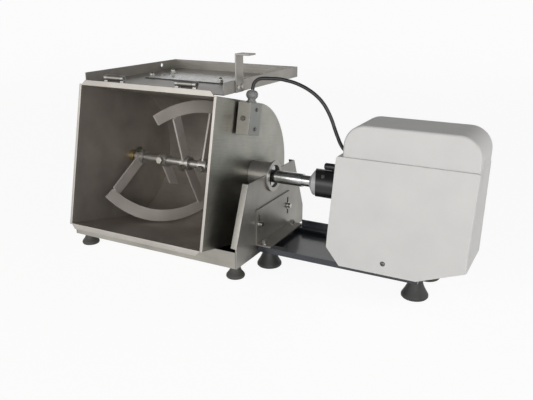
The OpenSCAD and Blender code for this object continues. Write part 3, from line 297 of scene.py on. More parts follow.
# Stainless sheet inside the tub, partly diffuse, in soft warm patches that vary at random. Its colour, lighter and
# warmer than the same sheet outside, is partly painted light: it stands in for the light that falls into the tub.
TUB_INSIDE = BrushedSteel("tub_inside_steel", "#8F8A82", "#B9B1AA", Grain.ALONG_SHAFT,
                          smooth=0.4, rough=0.52, leaning=True, metal=0.66)
# The same sheet outside, brushed upright: greenish grey with long soft highlights.
TUB_OUTSIDE = BrushedSteel("tub_outside_steel", "#7F807A", "#A5A39B", Grain.UPRIGHT, leaning=True)
# Lips and hems: the brightest metal of the machine, partly ground steel and partly a painted highlight on the
# mouth's faces.
POLISHED_EDGE_HIGHLIGHT = BrushedSteel("polished_edge_highlight_steel", "#918D87", "#ABA7A1", Grain.ALONG_SHAFT,
                             smooth=0.36, rough=0.46, leaning=True)
# Brushed sheet of the uprights and brackets: warm mid grey.
FRAME_SHEET = BrushedSteel("frame_sheet_steel", "#7E7C76", "#A19E98", Grain.UPRIGHT, metal=0.72)
# Brushed sheet of the base pan: lighter, brushed lengthwise.
PAN_SHEET = BrushedSteel("pan_sheet_steel", "#908D86", "#B3AFA7", Grain.ALONG_SHAFT)
# Brushed sheet of the lid: warm grey, brushed lengthwise.
LID_SHEET = BrushedSteel("lid_sheet_steel", "#807D78", "#A19D97", Grain.ALONG_SHAFT, metal=0.75)
# Blades and arms, dull and mostly diffuse: their pale colour is partly the bar's own and partly painted light,
# standing in for the front light that brightens them.
BLADE_BAR = BrushedSteel("blade_bar_steel", "#B3ACA6", "#D0C9C3", Grain.ALONG_SHAFT,
                         smooth=0.42, rough=0.58, metal=0.3)
# Turned stainless: fine rings round the axis.
TURNED = BrushedSteel("turned_steel_finish", "#928F8C", "#B6B3AD", Grain.ROUND_SHAFT,
                      line_w=0.5 * MM, smooth=0.28, rough=0.42, metal=0.72)
# Ground drive shaft: nearly a mirror, with dark and light bands along it.
GROUND_SHAFT = BrushedSteel("ground_shaft_steel", "#A3A5A5", "#C6C8C8", Grain.ROUND_SHAFT,
                            line_w=0.4 * MM, smooth=0.14, rough=0.22)
# Zinc plated fasteners: bright, slightly blotched.
ZINC = BrushedSteel("zinc_plated_steel", "#9A9994", "#C1C0BA", Grain.LEVEL_RINGS,
                    line_w=0.4 * MM, line_len=6.0 * MM, smooth=0.22, rough=0.36)
# Dulled zinc of the small screws, which read as dark dots on the pale plastic.
DULL_ZINC = BrushedSteel("dulled_zinc_steel", "#55544F", "#757470", Grain.LEVEL_RINGS,
                         line_w=0.4 * MM, line_len=6.0 * MM, smooth=0.3, rough=0.45)
# Sintered bronze bushes: dull gold.
BRONZE = BrushedSteel("sintered_bronze", "#8D7E58", "#B3A37A", Grain.ROUND_SHAFT,
                      line_w=0.5 * MM, smooth=0.3, rough=0.42, metal=0.8)
# Hobbed gear steel: dark, oily, with tool marks.
GEAR_STEEL = BrushedSteel("machined_gear_steel", "#5C5C5B", "#7A7A78", Grain.ROUND_SHAFT, line_w=0.4 * MM)
# Ground bearing rings: clean and bright.
BEARING = BrushedSteel("ground_bearing_steel", "#9A9A98", "#BDBDBA", Grain.ROUND_SHAFT,
                       line_w=0.3 * MM, smooth=0.15, rough=0.24)
# Vacuum formed ABS of the cover: pale grey, half matt, with a faint grain and slow cloudiness.
COVER_ABS = Moulded("formed_abs_grey", "#D9D8D5", "#CDCBCA", 0.5, 0.45 * MM, 0.08, ior=1.42)
# Gloss powder coat on the tray: blue-black, mirrors the cover.
TRAY_COAT = Moulded("black_powder_coat", "#30333A", "#25282E", 0.26, 0.8 * MM, 0.03, coat=0.3)
# Moulded nylon of the shaft tube and handle: black with soft long highlights.
TUBE_BLACK = Moulded("moulded_black_nylon", "#242426", "#1B1B1D", 0.34, 0.5 * MM, 0.12)
# Black rubber of the drive's feet.
FOOT_BLACK = Moulded("black_rubber", "#2E2E2D", "#242423", 0.55, 0.6 * MM, 0.2)
# Greyer rubber of the mixer's feet.
FOOT_GREY = Moulded("grey_rubber", "#454441", "#393835", 0.62, 0.6 * MM, 0.2)
# Nitrile lip seals.
SEAL_BLACK = Moulded("nitrile_seal", "#1E1E1E", "#161616", 0.5, 0.5 * MM, 0.15)
# Turned acetal liners: waxy white.
LINER_WHITE = Moulded("turned_acetal", "#D4D4CE", "#C6C6C0", 0.4, 0.6 * MM, 0.08)
# Painted collar at the tube's mouth.
CONE_GREY = Moulded("grey_collar_paint", "#B9B8B9", "#A8A7A8", 0.38, 0.5 * MM, 0.06)
# Moulded switch body: pale grey with a fine grain.
SWITCH_GREY = Moulded("grey_switch_plastic", "#979994", "#8A8C88", 0.46, 0.5 * MM, 0.1)
# Nylon of the cable gland.
GLAND_GREY = Moulded("grey_gland_nylon", "#8B8C89", "#7B7C7A", 0.5, 0.5 * MM, 0.1)
# PVC jacket of the sensor lead.
CABLE_PVC = Moulded("black_pvc_jacket", "#2B2B2B", "#222222", 0.42, 0.4 * MM, 0.1)
# Enamel on the motor.
MOTOR_ENAMEL = Moulded("grey_motor_enamel", "#4A4F54", "#3F4448", 0.4, 0.8 * MM, 0.12, coat=0.3)
# Die cast gearbox: light grey with a pebbled skin.
CASE_CAST = CastMetal("cast_aluminium", "#B0B0AE", "#8C8C8A", 0.46, 1.4 * MM)
# Stacked stator sheet: dark with fine unevenness.
LAMINATION = CastMetal("stacked_lamination", "#6A6A6B", "#4C4C4D", 0.5, 0.5 * MM)
# Enamelled copper wire, wound.
COPPER = CastMetal("enamelled_copper_wire", "#B5683A", "#7C4122", 0.35, 0.9 * MM)
# Smoked acrylic window: grey where white lies behind it.
WINDOW = ClearSheet("smoked_acrylic", "#62645F")

# The finish of each record slot, for the nodes that keep their CAD shape.
SLOT_FINISH: dict[str, Finish] = {
    "frame_steel": FRAME_SHEET, "tub_steel": TUB_OUTSIDE, "lid_steel": LID_SHEET,
    "turned_steel": TURNED, "blade_steel": BLADE_BAR, "bright_steel": GROUND_SHAFT,
    "fastener_steel": ZINC, "bearing_steel": BEARING, "gear_steel": GEAR_STEEL, "bronze": BRONZE,
    "tray_black": TRAY_COAT, "foot_rubber": FOOT_BLACK, "mixer_foot_rubber": FOOT_GREY,
    "seal_rubber": SEAL_BLACK, "liner_plastic": LINER_WHITE, "cover_plastic": COVER_ABS,
    "tube_plastic": TUBE_BLACK, "cone_grey": CONE_GREY, "case_aluminium": CASE_CAST,
    "motor_grey": MOTOR_ENAMEL, "lamination": LAMINATION, "copper_winding": COPPER,
    "switch_grey": SWITCH_GREY, "cable_black": CABLE_PVC, "window_clear": WINDOW,
}


def only(piece: bpy.types.Object) -> None:
    """Makes one object the only selected and the active one."""
    bpy.ops.object.select_all(action="DESELECT")
    piece.select_set(True)
    bpy.context.view_layer.objects.active = piece


@contextmanager
def editing(piece: bpy.types.Object) -> Iterator[None]:
    """Edits one mesh, with all of it selected at the start."""
    only(piece)
    bpy.ops.object.mode_set(mode="EDIT")
    bpy.ops.mesh.select_all(action="SELECT")
    yield
    bpy.ops.object.mode_set(mode="OBJECT")


def apply_modifier(piece: bpy.types.Object, kind: str, settings: dict[str, object]) -> None:
    """Adds a modifier with its settings to a piece and applies it.

    Args:
        piece: the object.
        kind: the modifier's type name.
        settings: the modifier's own properties.
    """
    only(piece)
    modifier = piece.modifiers.new(kind.title(), kind)
    for name, value in settings.items():
        setattr(modifier, name, value)
    bpy.ops.object.modifier_apply(modifier=modifier.name)


def settle(piece: bpy.types.Object, place: Matrix = Matrix.Identity(4)) -> None:
    """Moves a piece to its place, puts the place in its mesh, and smooths all but its creases.

    Args:
        piece: the object.
        place: what is done to the object after its own transform.
    """
    piece.matrix_world = place @ piece.matrix_world
    only(piece)
    bpy.ops.object.transform_apply(location=True, rotation=True, scale=True)
    bpy.ops.object.shade_smooth_by_angle(angle=CREASE)
    apply_modifier(piece, "WEIGHTED_NORMAL", {"keep_sharp": True})


def dress(piece: bpy.types.Object, *finishes: Finish) -> None:
    """Gives a piece its finishes.

    Args:
        piece: the object.
        finishes: the finishes, in the order of its material slots.
    """
    piece.data.materials.clear()
    for finish in finishes:
        piece.data.materials.append(finish.material())


def paint_faces(piece: bpy.types.Object, slot: int,
                chosen: Callable[[bpy.types.MeshPolygon], bool]) -> None:
    """Gives the chosen faces another of the piece's finishes.

    Args:
        piece: the object.
        slot: the number of the finish.
        chosen: says whether a face takes it.
    """
    for face in piece.data.polygons:
        if chosen(face):
            face.material_index = slot


def delete_faces(piece: bpy.types.Object, chosen: Callable[[bpy.types.MeshPolygon], bool]) -> None:
    """Deletes the chosen faces of a piece.

    Args:
        piece: the object.
        chosen: says whether a face goes.
    """
    with editing(piece):
        bpy.ops.mesh.select_mode(type="FACE")
        bpy.ops.mesh.select_all(action="DESELECT")
    for face in piece.data.polygons:
        face.select = chosen(face)
    bpy.ops.object.mode_set(mode="EDIT")
    bpy.ops.mesh.delete(type="FACE")
    bpy.ops.mesh.select_mode(type="VERT")
    bpy.ops.object.mode_set(mode="OBJECT")


def bevel_edges(piece: bpy.types.Object, width: float, segments: int,
                chosen: Callable[[Vector, Vector], bool], clamped: bool = True) -> None:
    """Rounds the chosen edges of a piece.

    Args:
        piece: the object.
        width: the radius in metres.
        segments: how many faces the rounding has.
        chosen: says by its two ends whether an edge is rounded.
        clamped: whether short edges beside it limit the radius.
    """
    with editing(piece):
        bpy.ops.mesh.select_mode(type="EDGE")
        bpy.ops.mesh.select_all(action="DESELECT")
    points = piece.data.vertices
    for edge in piece.data.edges:
        edge.select = chosen(points[edge.vertices[0]].co, points[edge.vertices[1]].co)
    bpy.ops.object.mode_set(mode="EDIT")
    bpy.ops.mesh.bevel(offset=width, segments=segments, affect="EDGES", clamp_overlap=clamped)
    bpy.ops.mesh.select_mode(type="VERT")
    bpy.ops.object.mode_set(mode="OBJECT")


def rounded(corners: Sequence[tuple[float, float, float]], steps: int) -> list[tuple[float, float]]:
    """Rounds the corners of an outline.

    Args:
        corners: each corner's two coordinates and its radius, in order.
        steps: how many straight pieces each rounding has.

    Returns:
        The points of the rounded outline.
    """
    points = []
    for i, (across, up, radius) in enumerate(corners):
        corner = Vector((across, up))
        before = (Vector(corners[i - 1][:2]) - corner).normalized()
        after = (Vector(corners[(i + 1) % len(corners)][:2]) - corner).normalized()
        half = before.angle(after) / 2
        middle = corner + (before + after).normalized() * radius / math.sin(half)
        first = corner + before * radius / math.tan(half) - middle
        last = corner + after * radius / math.tan(half) - middle
        for step in range(steps + 1):
            share = step / steps
            spoke = (first * (1 - share) + last * share).normalized() * radius
            points.append((middle.x + spoke.x, middle.y + spoke.y))
    return points


def along(direction: Vector, origin: Vector) -> Matrix:
    """Works out how a piece that was modelled about Z comes to its place.

    Args:
        direction: where its +Z will point.
        origin: where its zero will be.

    Returns:
        The matrix of that move.
    """
    return Matrix.Translation(origin) @ direction.to_track_quat("Z", "Y").to_matrix().to_4x4()


def turned(name: str, profile: Sequence[tuple[float, float]], sides: int = 40) -> bpy.types.Object:
    """Models a round piece about Z, by extruding and scaling a disc from its base up.

    Args:
        name: the piece's name.
        profile: its radius and height at each step, in metres.
        sides: how many sides it has.

    Returns:
        The closed piece, at the origin.
    """
    radius, height = profile[0]
    bpy.ops.object.select_all(action="DESELECT")
    bpy.ops.mesh.primitive_circle_add(
        vertices=sides, radius=radius, fill_type="NGON", location=(0.0, 0.0, height))
    piece = bpy.context.object
    piece.name = name
    piece.data.name = name
    with editing(piece):
        for next_radius, next_height in profile[1:]:
            step = {"value": (0.0, 0.0, next_height - height)}
            bpy.ops.mesh.extrude_region_move(TRANSFORM_OT_translate=step)
            ratio = next_radius / radius
            bpy.ops.transform.resize(value=(ratio, ratio, 1.0), center_override=(0.0, 0.0, next_height))
            radius, height = next_radius, next_height
        bpy.ops.mesh.select_all(action="SELECT")
        bpy.ops.mesh.fill_holes(sides=0)
        bpy.ops.mesh.select_all(action="SELECT")
        bpy.ops.mesh.normals_make_consistent(inside=False)
    return piece


def copied(piece: bpy.types.Object, name: str) -> bpy.types.Object:
    """Copies a piece together with its mesh.

    Args:
        piece: the object.
        name: the copy's name.

    Returns:
        The copy.
    """
    twin = bpy.data.objects.new(name, piece.data.copy())
    bpy.context.scene.collection.objects.link(twin)
    return twin


def joined(pieces: Sequence[bpy.types.Object], name: str) -> bpy.types.Object:
    """Joins several objects into the first.

    Args:
        pieces: the objects.
        name: the joined object's name.

    Returns:
        The joined object.
    """
    only(pieces[0])
    for piece in pieces:
        piece.select_set(True)
    bpy.ops.object.join()
    pieces[0].name = name
    return pieces[0]


@dataclass
class SubAssembly:
    """Pieces that belong together and move with one CAD body."""

    body: str

    def fit(self, piece: bpy.types.Object, *nodes: str) -> bpy.types.Object:
        """Lets a finished piece ride on the body and stand for its nodes.

        Args:
            piece: the finished piece.
            nodes: the CAD nodes that it stands for.

        Returns:
            The piece.
        """
        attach(piece, self.body)
        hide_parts(*nodes)
        LOG.info("%s stands for %s", piece.name, ", ".join(nodes))
        return piece

    def eased(self, node: str, radius: float, *finishes: Finish) -> bpy.types.Object:
        """Copies a CAD node, rounds its edges as a deburred piece has them, and dresses it.

        Args:
            node: the CAD node.
            radius: the edges' radius in metres.
            finishes: its finishes, the main one first.

        Returns:
            The finished piece, in the node's place.
        """
        piece = self.copy_of(node, f"{node}_skin")
        self.round_edges(piece, radius, 2)
        dress(piece, *finishes)
        settle(piece)
        return self.fit(piece, node)

    def copy_of(self, node: str, name: str) -> bpy.types.Object:
        """Copies a CAD node's mesh, with its doubles merged and its flat faces joined.

        Args:
            node: the CAD node.
            name: the copy's name.

        Returns:
            The copy, in the node's place.
        """
        piece = copied(frame["nodes"][node], name)
        only(piece)
        bpy.ops.mesh.customdata_custom_splitnormals_clear()
        with editing(piece):
            bpy.ops.mesh.remove_doubles(threshold=WELD)
            bpy.ops.mesh.dissolve_limited(angle_limit=FLAT)
        return piece

    def round_edges(self, piece: bpy.types.Object, radius: float, segments: int) -> None:
        """Rounds every crease of a piece.

        Args:
            piece: the object.
            radius: the edges' radius in metres.
            segments: how many faces the rounding has.
        """
        apply_modifier(piece, "BEVEL", {
            "width": radius, "segments": segments, "limit_method": "ANGLE", "angle_limit": CREASE,
            "miter_outer": "MITER_ARC", "use_clamp_overlap": True})


@dataclass
class SensorCable:
    """The lead of the safety switch, from its gland to the grommet in the drive's cover."""

    diameter: float = 6.5 * MM
    length: float = 263.0 * MM
    # The route's points that mark the stretch between the tub and the frame.
    free_from: int = 3
    free_to: int = 18
    # The line of the lead, in mm from below the tub's middle.
    route: tuple[tuple[float, float, float], ...] = (
        (167.5, -34, 333), (168, -33, 338), (170, -32, 345), (174, -30, 350), (180, -28, 353),
        (189, -26, 354), (200, -23, 354), (214, -21, 354), (228, -19, 352), (242, -17, 349),
        (256, -15, 344), (270, -13, 337), (283, -11, 328), (295, -9, 316), (304, -7, 302),
        (311, -5, 287), (317, -4, 271), (323, -3, 256), (329, -2, 243), (336, -1, 234),
        (343, 0, 230), (352, 0, 230))

    def build(self) -> None:
        """Sweeps a round jacket along the route."""
        middle = Vector(((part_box("tub_shell")[0].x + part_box("tub_shell")[1].x) / 2, AXLE.y, 0.0))
        points = [middle + Vector(point) * MM for point in self.route]
        line = bpy.data.curves.new("sensor_lead", "CURVE")
        line.dimensions = "3D"
        line.bevel_depth = self.diameter / 2
        line.bevel_resolution = 5
        line.use_fill_caps = True
        line.resolution_u = 6
        spline = line.splines.new("BEZIER")
        spline.bezier_points.add(len(points) - 1)
        for knot, point in zip(spline.bezier_points, points):
            knot.co = point
            knot.handle_left_type = "AUTO"
            knot.handle_right_type = "AUTO"
        lead = bpy.data.objects.new("sensor_lead", line)
        bpy.context.scene.collection.objects.link(lead)
        only(lead)
        bpy.ops.object.convert(target="MESH")
        lead = bpy.context.object
        dress(lead, CABLE_PVC)
        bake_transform(lead)
        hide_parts("sensor_cable")
        LOG.info("sensor_lead stands for sensor_cable")


@dataclass
class DriveCover(SubAssembly):
    """The drive's formed cover: a box with cut lower corners, a soft step and rounded shoulders."""

    chamfer_w: float = 25.0 * MM
    chamfer_h: float = 31.0 * MM
    belt_z: float = 100.0 * MM
    step_z: float = 241.0 * MM
    left_lean: float = 9.5 * MM
    front_lean: float = 9.0 * MM
    right_lean: float = 3.0 * MM
    top_lean: float = 3.0 * MM
    ledge: float = 5.0 * MM
    # How far the ledge's rounded edges reach from the front and from the left.
    ledge_back: float = 20.0 * MM
    ledge_side: float = 17.0 * MM
    corner_r: float = 8.0 * MM
    rim_r: float = 4.6 * MM
    step_r: float = 2.6 * MM
    edge_r: float = 1.6 * MM
    # An edge this near to where a line should be lies on that line.
    near: float = 1.2 * MM
    wall: float = 3.0 * MM
    waist: float = 106.9 * MM
    waist_lap: float = 2.0 * MM
    # The rear part's outline in mm, each corner along the shaft, up, and its radius.
    rear_corners: tuple[tuple[float, float, float], ...] = (
        (28.8, 56.0, 2.0), (159.0, 56.0, 8.0), (235.0, 85.6, 8.0), (235.0, 286.5, 30.0),
        (26.0, 286.5, 30.0), (20.0, 236.0, 20.0), (17.5, 70.0, 4.0))
    rear_facets: int = 9
    rear_centre: float = 125.0 * MM
    # How many mm before its back each step of the rear part ends, and how it shrinks there.
    rear_steps: tuple[tuple[float, float, float], ...] = (
        (4.0, 0.962, 0.957), (2.4, 0.996, 0.998), (1.0, 0.99, 0.994), (0.2, 0.982, 0.99),
        (0.0, 0.978, 0.988))
    slit_size: tuple[float, float, float] = (16.0 * MM, 2.4 * MM, 32.0 * MM)
    slit_back: float = 39.5 * MM
    slit_z: float = 242.0 * MM
    slit_lean: float = math.radians(-24.0)

    def __post_init__(self) -> None:
        """Looks up the lowest and highest corner of the cover once."""
        self.low, self.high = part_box("motor_cover")

    def front_left(self, z: float) -> tuple[float, float]:
        """Gives the place of the cover's front left edge, below its step, at a height.

        Args:
            z: the height in metres.

        Returns:
            Its place along X and along Y.
        """
        low = self.low
        side = low.z + self.chamfer_h
        left = low.x + self.chamfer_w * max(0.0, (side - z) / self.chamfer_h)
        left += self.left_lean * max(0.0, (z - side) / (self.step_z - side))
        front = low.y + self.front_lean * max(0.0, (z - self.belt_z) / (self.step_z - self.belt_z))
        return left, front

    def on_front_left(self, first: Vector, last: Vector) -> bool:
        """Says whether an edge with these ends lies on the front left edge below the step."""
        for point in (first, last):
            left, front = self.front_left(point.z)
            if abs(point.x - left) > self.near or abs(point.y - front) > self.near or point.z > self.step_z:
                return False
        return (last - first).length > self.near

    def on_front_right(self, first: Vector, last: Vector) -> bool:
        """Says whether an edge with these ends lies on the front right edge below the step."""
        low, high = self.low, self.high
        side = low.z + self.chamfer_h
        for point in (first, last):
            right = high.x - self.right_lean * (self.step_z - point.z) / (self.step_z - side)
            off_front = abs(point.y - self.front_left(point.z)[1])
            if abs(point.x - right) > self.near / 2 or off_front > self.near or point.z < side - self.near:
                return False
        return (last - first).length > self.near

    def on_rim(self, first: Vector, last: Vector) -> bool:
        """Says whether an edge with these ends lies round the upper front, above the ledge."""
        low, high = self.low, self.high
        foot = low.y + self.front_lean + self.ledge
        for point in (first, last):
            share = (point.z - self.step_z) / (high.z - self.step_z)
            if share < -0.01 or abs(point.y - foot - self.top_lean * share) > self.near / 2:
                return False
        return max(first.z, last.z) > self.step_z + self.near

    def at_step(self, first: Vector, last: Vector) -> bool:
        """Says whether an edge with these ends lies in the step's ledge, outside."""
        low = self.low
        on_ledge = all(abs(point.z - self.step_z) < self.near / 4 for point in (first, last))
        middle = (first + last) / 2
        return on_ledge and (middle.y < low.y + self.ledge_back or middle.x < low.x + self.ledge_side)

    def build(self) -> None:
        """Rounds the front part's corners, each by its own radius, and puts the rear part behind it."""
        front = self.copy_of("motor_cover", "drive_cover")
        cutters = joined([self.slit(), self.behind_waist()], "cover_cutters")
        apply_modifier(front, "BOOLEAN", {"operation": "DIFFERENCE", "object": cutters, "solver": "EXACT"})
        bpy.data.objects.remove(cutters)
        bevel_edges(front, self.corner_r, 7, self.on_front_left)
        bevel_edges(front, self.rim_r, 5, self.on_front_right, clamped=False)
        bevel_edges(front, self.rim_r, 5, self.on_rim, clamped=False)
        bevel_edges(front, self.step_r, 4, self.at_step)
        self.round_edges(front, self.edge_r, 3)
        cover = joined([front, self.rear()], "drive_cover")
        dress(cover, COVER_ABS)
        settle(cover)
        self.fit(cover, "motor_cover")

    def behind_waist(self) -> bpy.types.Object:
        """Makes the cutter that takes away all behind the waist."""
        low, high = self.low, self.high
        size = high - low
        bpy.ops.object.select_all(action="DESELECT")
        bpy.ops.mesh.primitive_cube_add(size=1.0, scale=(size.x * 1.2, size.y, size.z * 1.2), location=(
            (low.x + high.x) / 2, low.y + self.waist + size.y / 2, (low.z + high.z) / 2))
        return bpy.context.object

    def rear(self) -> bpy.types.Object:
        """Draws the rear part back from the waist, narrowing and falling a little, with its wall."""
        low, high = self.low, self.high
        outline = rounded([(x * MM, z * MM, r * MM) for x, z, r in self.rear_corners], self.rear_facets)
        bpy.ops.object.select_all(action="DESELECT")
        bpy.ops.mesh.primitive_circle_add(vertices=len(outline), radius=1.0, fill_type="NGON")
        rear = bpy.context.object
        start = low.y + self.waist - self.waist_lap
        for vertex, (x, z) in zip(rear.data.vertices, outline):
            vertex.co = (low.x + x, start, z)
        floor_z = min(z for x, z in outline)
        centre_x = low.x + self.rear_centre
        y = start
        with editing(rear):
            for back_in, width, height in self.rear_steps:
                next_y = high.y - back_in * MM
                bpy.ops.mesh.extrude_region_move(TRANSFORM_OT_translate={"value": (0.0, next_y - y, 0.0)})
                bpy.ops.transform.resize(
                    value=(width, 1.0, height), center_override=(centre_x, next_y, floor_z))
                y = next_y
            bpy.ops.mesh.select_all(action="SELECT")
            bpy.ops.mesh.normals_make_consistent(inside=False)
        delete_faces(rear, lambda face: face.normal.z < -0.97 or face.center.y < start + WELD)
        apply_modifier(rear, "SOLIDIFY", {"thickness": self.wall, "offset": -1.0, "use_even_offset": True})
        return rear

    def slit(self) -> bpy.types.Object:
        """Makes the cutter for the narrow slot in the right wall, which leans as in the photo."""
        low, high = self.low, self.high
        bpy.ops.object.select_all(action="DESELECT")
        bpy.ops.mesh.primitive_cube_add(size=1.0, scale=self.slit_size,
                                        location=(high.x, low.y + self.slit_back, self.slit_z),
                                        rotation=(self.slit_lean, 0.0, 0.0))
        return bpy.context.object


@dataclass
class CoverScrews(SubAssembly):
    """Round-headed screws that hold the cover, each with a hexagon socket."""

    head_r: float = 4.5 * MM
    head_h: float = 2.5 * MM
    socket_r: float = 1.6 * MM

    def build(self) -> None:
        """Turns one head with its socket, and sets one in the front and one in the back."""
        low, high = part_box("cover_screws")
        heads = []
        dome = [(self.head_r * math.cos(a), self.head_h * math.sin(a))
                for a in (0.0, 0.35, 0.7, 0.95)]
        profile = [(self.head_r * 0.55, -6 * MM), (self.head_r * 0.55, 0.0), *dome,
                   (self.socket_r * 1.15, self.head_h * 0.92), (self.socket_r, self.head_h * 0.8),
                   (self.socket_r * 0.96, self.head_h * 0.2)]
        for side, face in ((-1.0, low.y), (1.0, high.y)):
            head = turned("cover_screw_head", profile, 24)
            foot = Vector(((low.x + high.x) / 2, face - side * self.head_h, (low.z + high.z) / 2))
            settle(head, along(Vector((0.0, side, 0.0)), foot))
            heads.append(head)
        screws = joined(heads, "cover_screw_heads")
        dress(screws, DULL_ZINC)
        self.fit(screws, "cover_screws")


@dataclass
class RubberFeet(SubAssembly):
    """Rubber feet turned from a profile, all alike under one unit."""

    node: str
    profile: tuple[tuple[float, float], ...]
    finish: Finish
    spans: tuple[float, float]

    def build(self) -> None:
        """Turns one foot by the profile's shares of radius and height, and sets a copy at each corner."""
        low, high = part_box(self.node)
        radius = (high.x - low.x - self.spans[0]) / 2
        profile = [(r * radius, z * (high.z - low.z)) for r, z in self.profile]
        first = turned(f"{self.node}_skin", profile, 48)
        settle(first)
        centre = (low + high) / 2
        feet = []
        for x_side in (-0.5, 0.5):
            for y_side in (-0.5, 0.5):
                foot = copied(first, f"{self.node}_copy")
                spot = Vector((centre.x + x_side * self.spans[0], centre.y + y_side * self.spans[1], 0.0))
                settle(foot, Matrix.Translation(spot))
                feet.append(foot)
        bpy.data.objects.remove(first)
        group = joined(feet, f"{self.node}_skin")
        dress(group, self.finish)
        self.fit(group, self.node)


@dataclass
class Tub(SubAssembly):
    """The tub: sheet wall with polished lips that carry a painted highlight, end plates with hems, trunnions and
    bushes.
    """

    sheet: float = 2.0 * MM
    mouth: float = 168.0 * MM

    def at_mouth(self, face: bpy.types.MeshPolygon) -> bool:
        """Says whether a face is the front of a lip or hem, which takes the lip steel with its painted highlight.
        """
        out = (face.center - AXLE).dot(MOUTH_OUT)
        return out > self.mouth - self.sheet * 1.4 and face.normal.dot(MOUTH_OUT) > -0.2

    def inside(self, face: bpy.types.MeshPolygon) -> bool:
        """Says whether a face looks into the tub."""
        place = face.center - AXLE
        towards = Vector((0.0, place.y, place.z))
        across = place - MOUTH_OUT * max(0.0, place.dot(MOUTH_OUT))
        across.x = 0.0
        return towards.length > 0 and face.normal.dot(across.normalized()) < -0.6

    def build(self) -> None:
        """Eases the sheets' edges and gives inside, outside and mouth their finishes."""
        wall = self.eased("tub_shell", 0.5 * MM, TUB_OUTSIDE, TUB_INSIDE, POLISHED_EDGE_HIGHLIGHT)
        # The inside faces take the lighter, warmer steel, which is partly painted light.
        paint_faces(wall, 1, self.inside)
        # The mouth's faces take the brighter lip steel, partly a painted highlight.
        paint_faces(wall, 2, self.at_mouth)
        for side, node in ((-1.0, "left_end_plate"), (1.0, "right_end_plate")):
            plate = self.eased(node, 0.6 * MM, TUB_OUTSIDE, TUB_INSIDE, POLISHED_EDGE_HIGHLIGHT)
            paint_faces(plate, 1, lambda face: face.normal.x * side < -0.7)
            paint_faces(plate, 2, self.at_mouth)
        for node in ("left_trunnion", "right_trunnion", "trunnion_cap"):
            self.eased(node, 0.9 * MM, TURNED)
        self.eased("shaft_bushes", 0.4 * MM, BRONZE)
        self.eased("hinge_eyes", 0.4 * MM, TURNED)


@dataclass
class Lid(SubAssembly):
    """The lid: folded sheet, window plate with its dome nuts, and the strap that trips the switch."""

    def build(self) -> None:
        """Eases the edges of its sheets and fasteners."""
        self.eased("lid_panel", 0.5 * MM, LID_SHEET)
        self.eased("lid_window", 0.4 * MM, WINDOW)
        self.eased("window_nuts", 0.5 * MM, ZINC)
        self.eased("lid_strap", 0.7 * MM, LID_SHEET)
        self.eased("strap_rivets", 0.5 * MM, ZINC)


@dataclass
class BaseFrame(SubAssembly):
    """The mixer's frame: pan, uprights, bracket and their fasteners."""

    def build(self) -> None:
        """Eases the edges of its sheets and fasteners."""
        self.eased("base_pan", 0.6 * MM, PAN_SHEET)
        self.eased("left_upright", 0.9 * MM, FRAME_SHEET)
        self.eased("right_upright", 0.9 * MM, FRAME_SHEET)
        self.eased("mount_bracket", 0.7 * MM, FRAME_SHEET)
        self.eased("motor_tray", 0.7 * MM, TRAY_COAT)
        for node in ("foot_bolts", "bracket_screws", "shelf_bolts"):
            self.eased(node, 0.4 * MM, ZINC)


@dataclass
class MixingShaft(SubAssembly):
    """The shaft in the tub with its hubs, arms and helical blades."""

    def build(self) -> None:
        """Eases the edges of the bars and hubs."""
        self.eased("mixing_shaft", 0.6 * MM, TURNED)
        self.eased("hub_collars", 0.9 * MM, TURNED)
        self.eased("hub_bolts", 0.5 * MM, ZINC)
        # The blades and arms take the pale steel, which is partly painted light.
        for node in ("blade_arms", "lower_blade", "upper_blade"):
            self.eased(node, 0.6 * MM, BLADE_BAR)


@dataclass
class SafetySwitch(SubAssembly):
    """The switch on the tub's side: bracket, box, screws and the gland of its lead."""

    gland_up: float = 132.0 * MM
    gland_out: float = 70.5 * MM

    def build(self) -> None:
        """Eases the bracket, box and gland."""
        self.eased("switch_bracket", 0.5 * MM, FRAME_SHEET)
        self.eased("switch_box", 1.4 * MM, SWITCH_GREY)
        self.eased("switch_screws", 0.4 * MM, DULL_ZINC)
        self.gland()

    def gland(self) -> None:
        """Turns the gland: a hexagon foot, a narrow neck and a round sealing nut."""
        low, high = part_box("switch_box")
        foot = AXLE + MOUTH_UP * self.gland_up + MOUTH_OUT * self.gland_out
        foot.x = (low.x + high.x) / 2
        base = turned("gland_foot", [(r * MM, z * MM) for r, z in (
            (8.4, 0.0), (9.0, 0.4), (9.0, 3.6), (8.4, 4.0), (7.0, 4.2), (7.0, 5.0))], 6)
        body = turned("gland_body", [(r * MM, z * MM) for r, z in (
            (7.2, 3.8), (7.2, 7.6), (7.9, 8.2), (8.9, 9.2), (10.1, 10.9), (10.8, 13.0), (11.0, 15.2),
            (10.7, 17.4), (9.8, 19.5), (8.4, 21.2), (6.6, 22.4), (4.8, 23.0), (3.5, 23.1),
            (3.4, 21.5))], 40)
        place = along(MOUTH_UP, foot)
        settle(base, place)
        settle(body, place)
        gland = joined([body, base], "gland_nut")
        dress(gland, GLAND_GREY)
        self.fit(gland, "cable_gland")


@dataclass
class DriveLine(SubAssembly):
    """What carries the turning shaft: collar, tube and its screw."""

    def build(self) -> None:
        """Eases the collar, the tube and the screw."""
        self.eased("shaft_cone", 0.7 * MM, CONE_GREY)
        self.eased("shaft_tube", 1.6 * MM, TUBE_BLACK)
        self.eased("tube_screw", 0.4 * MM, ZINC)


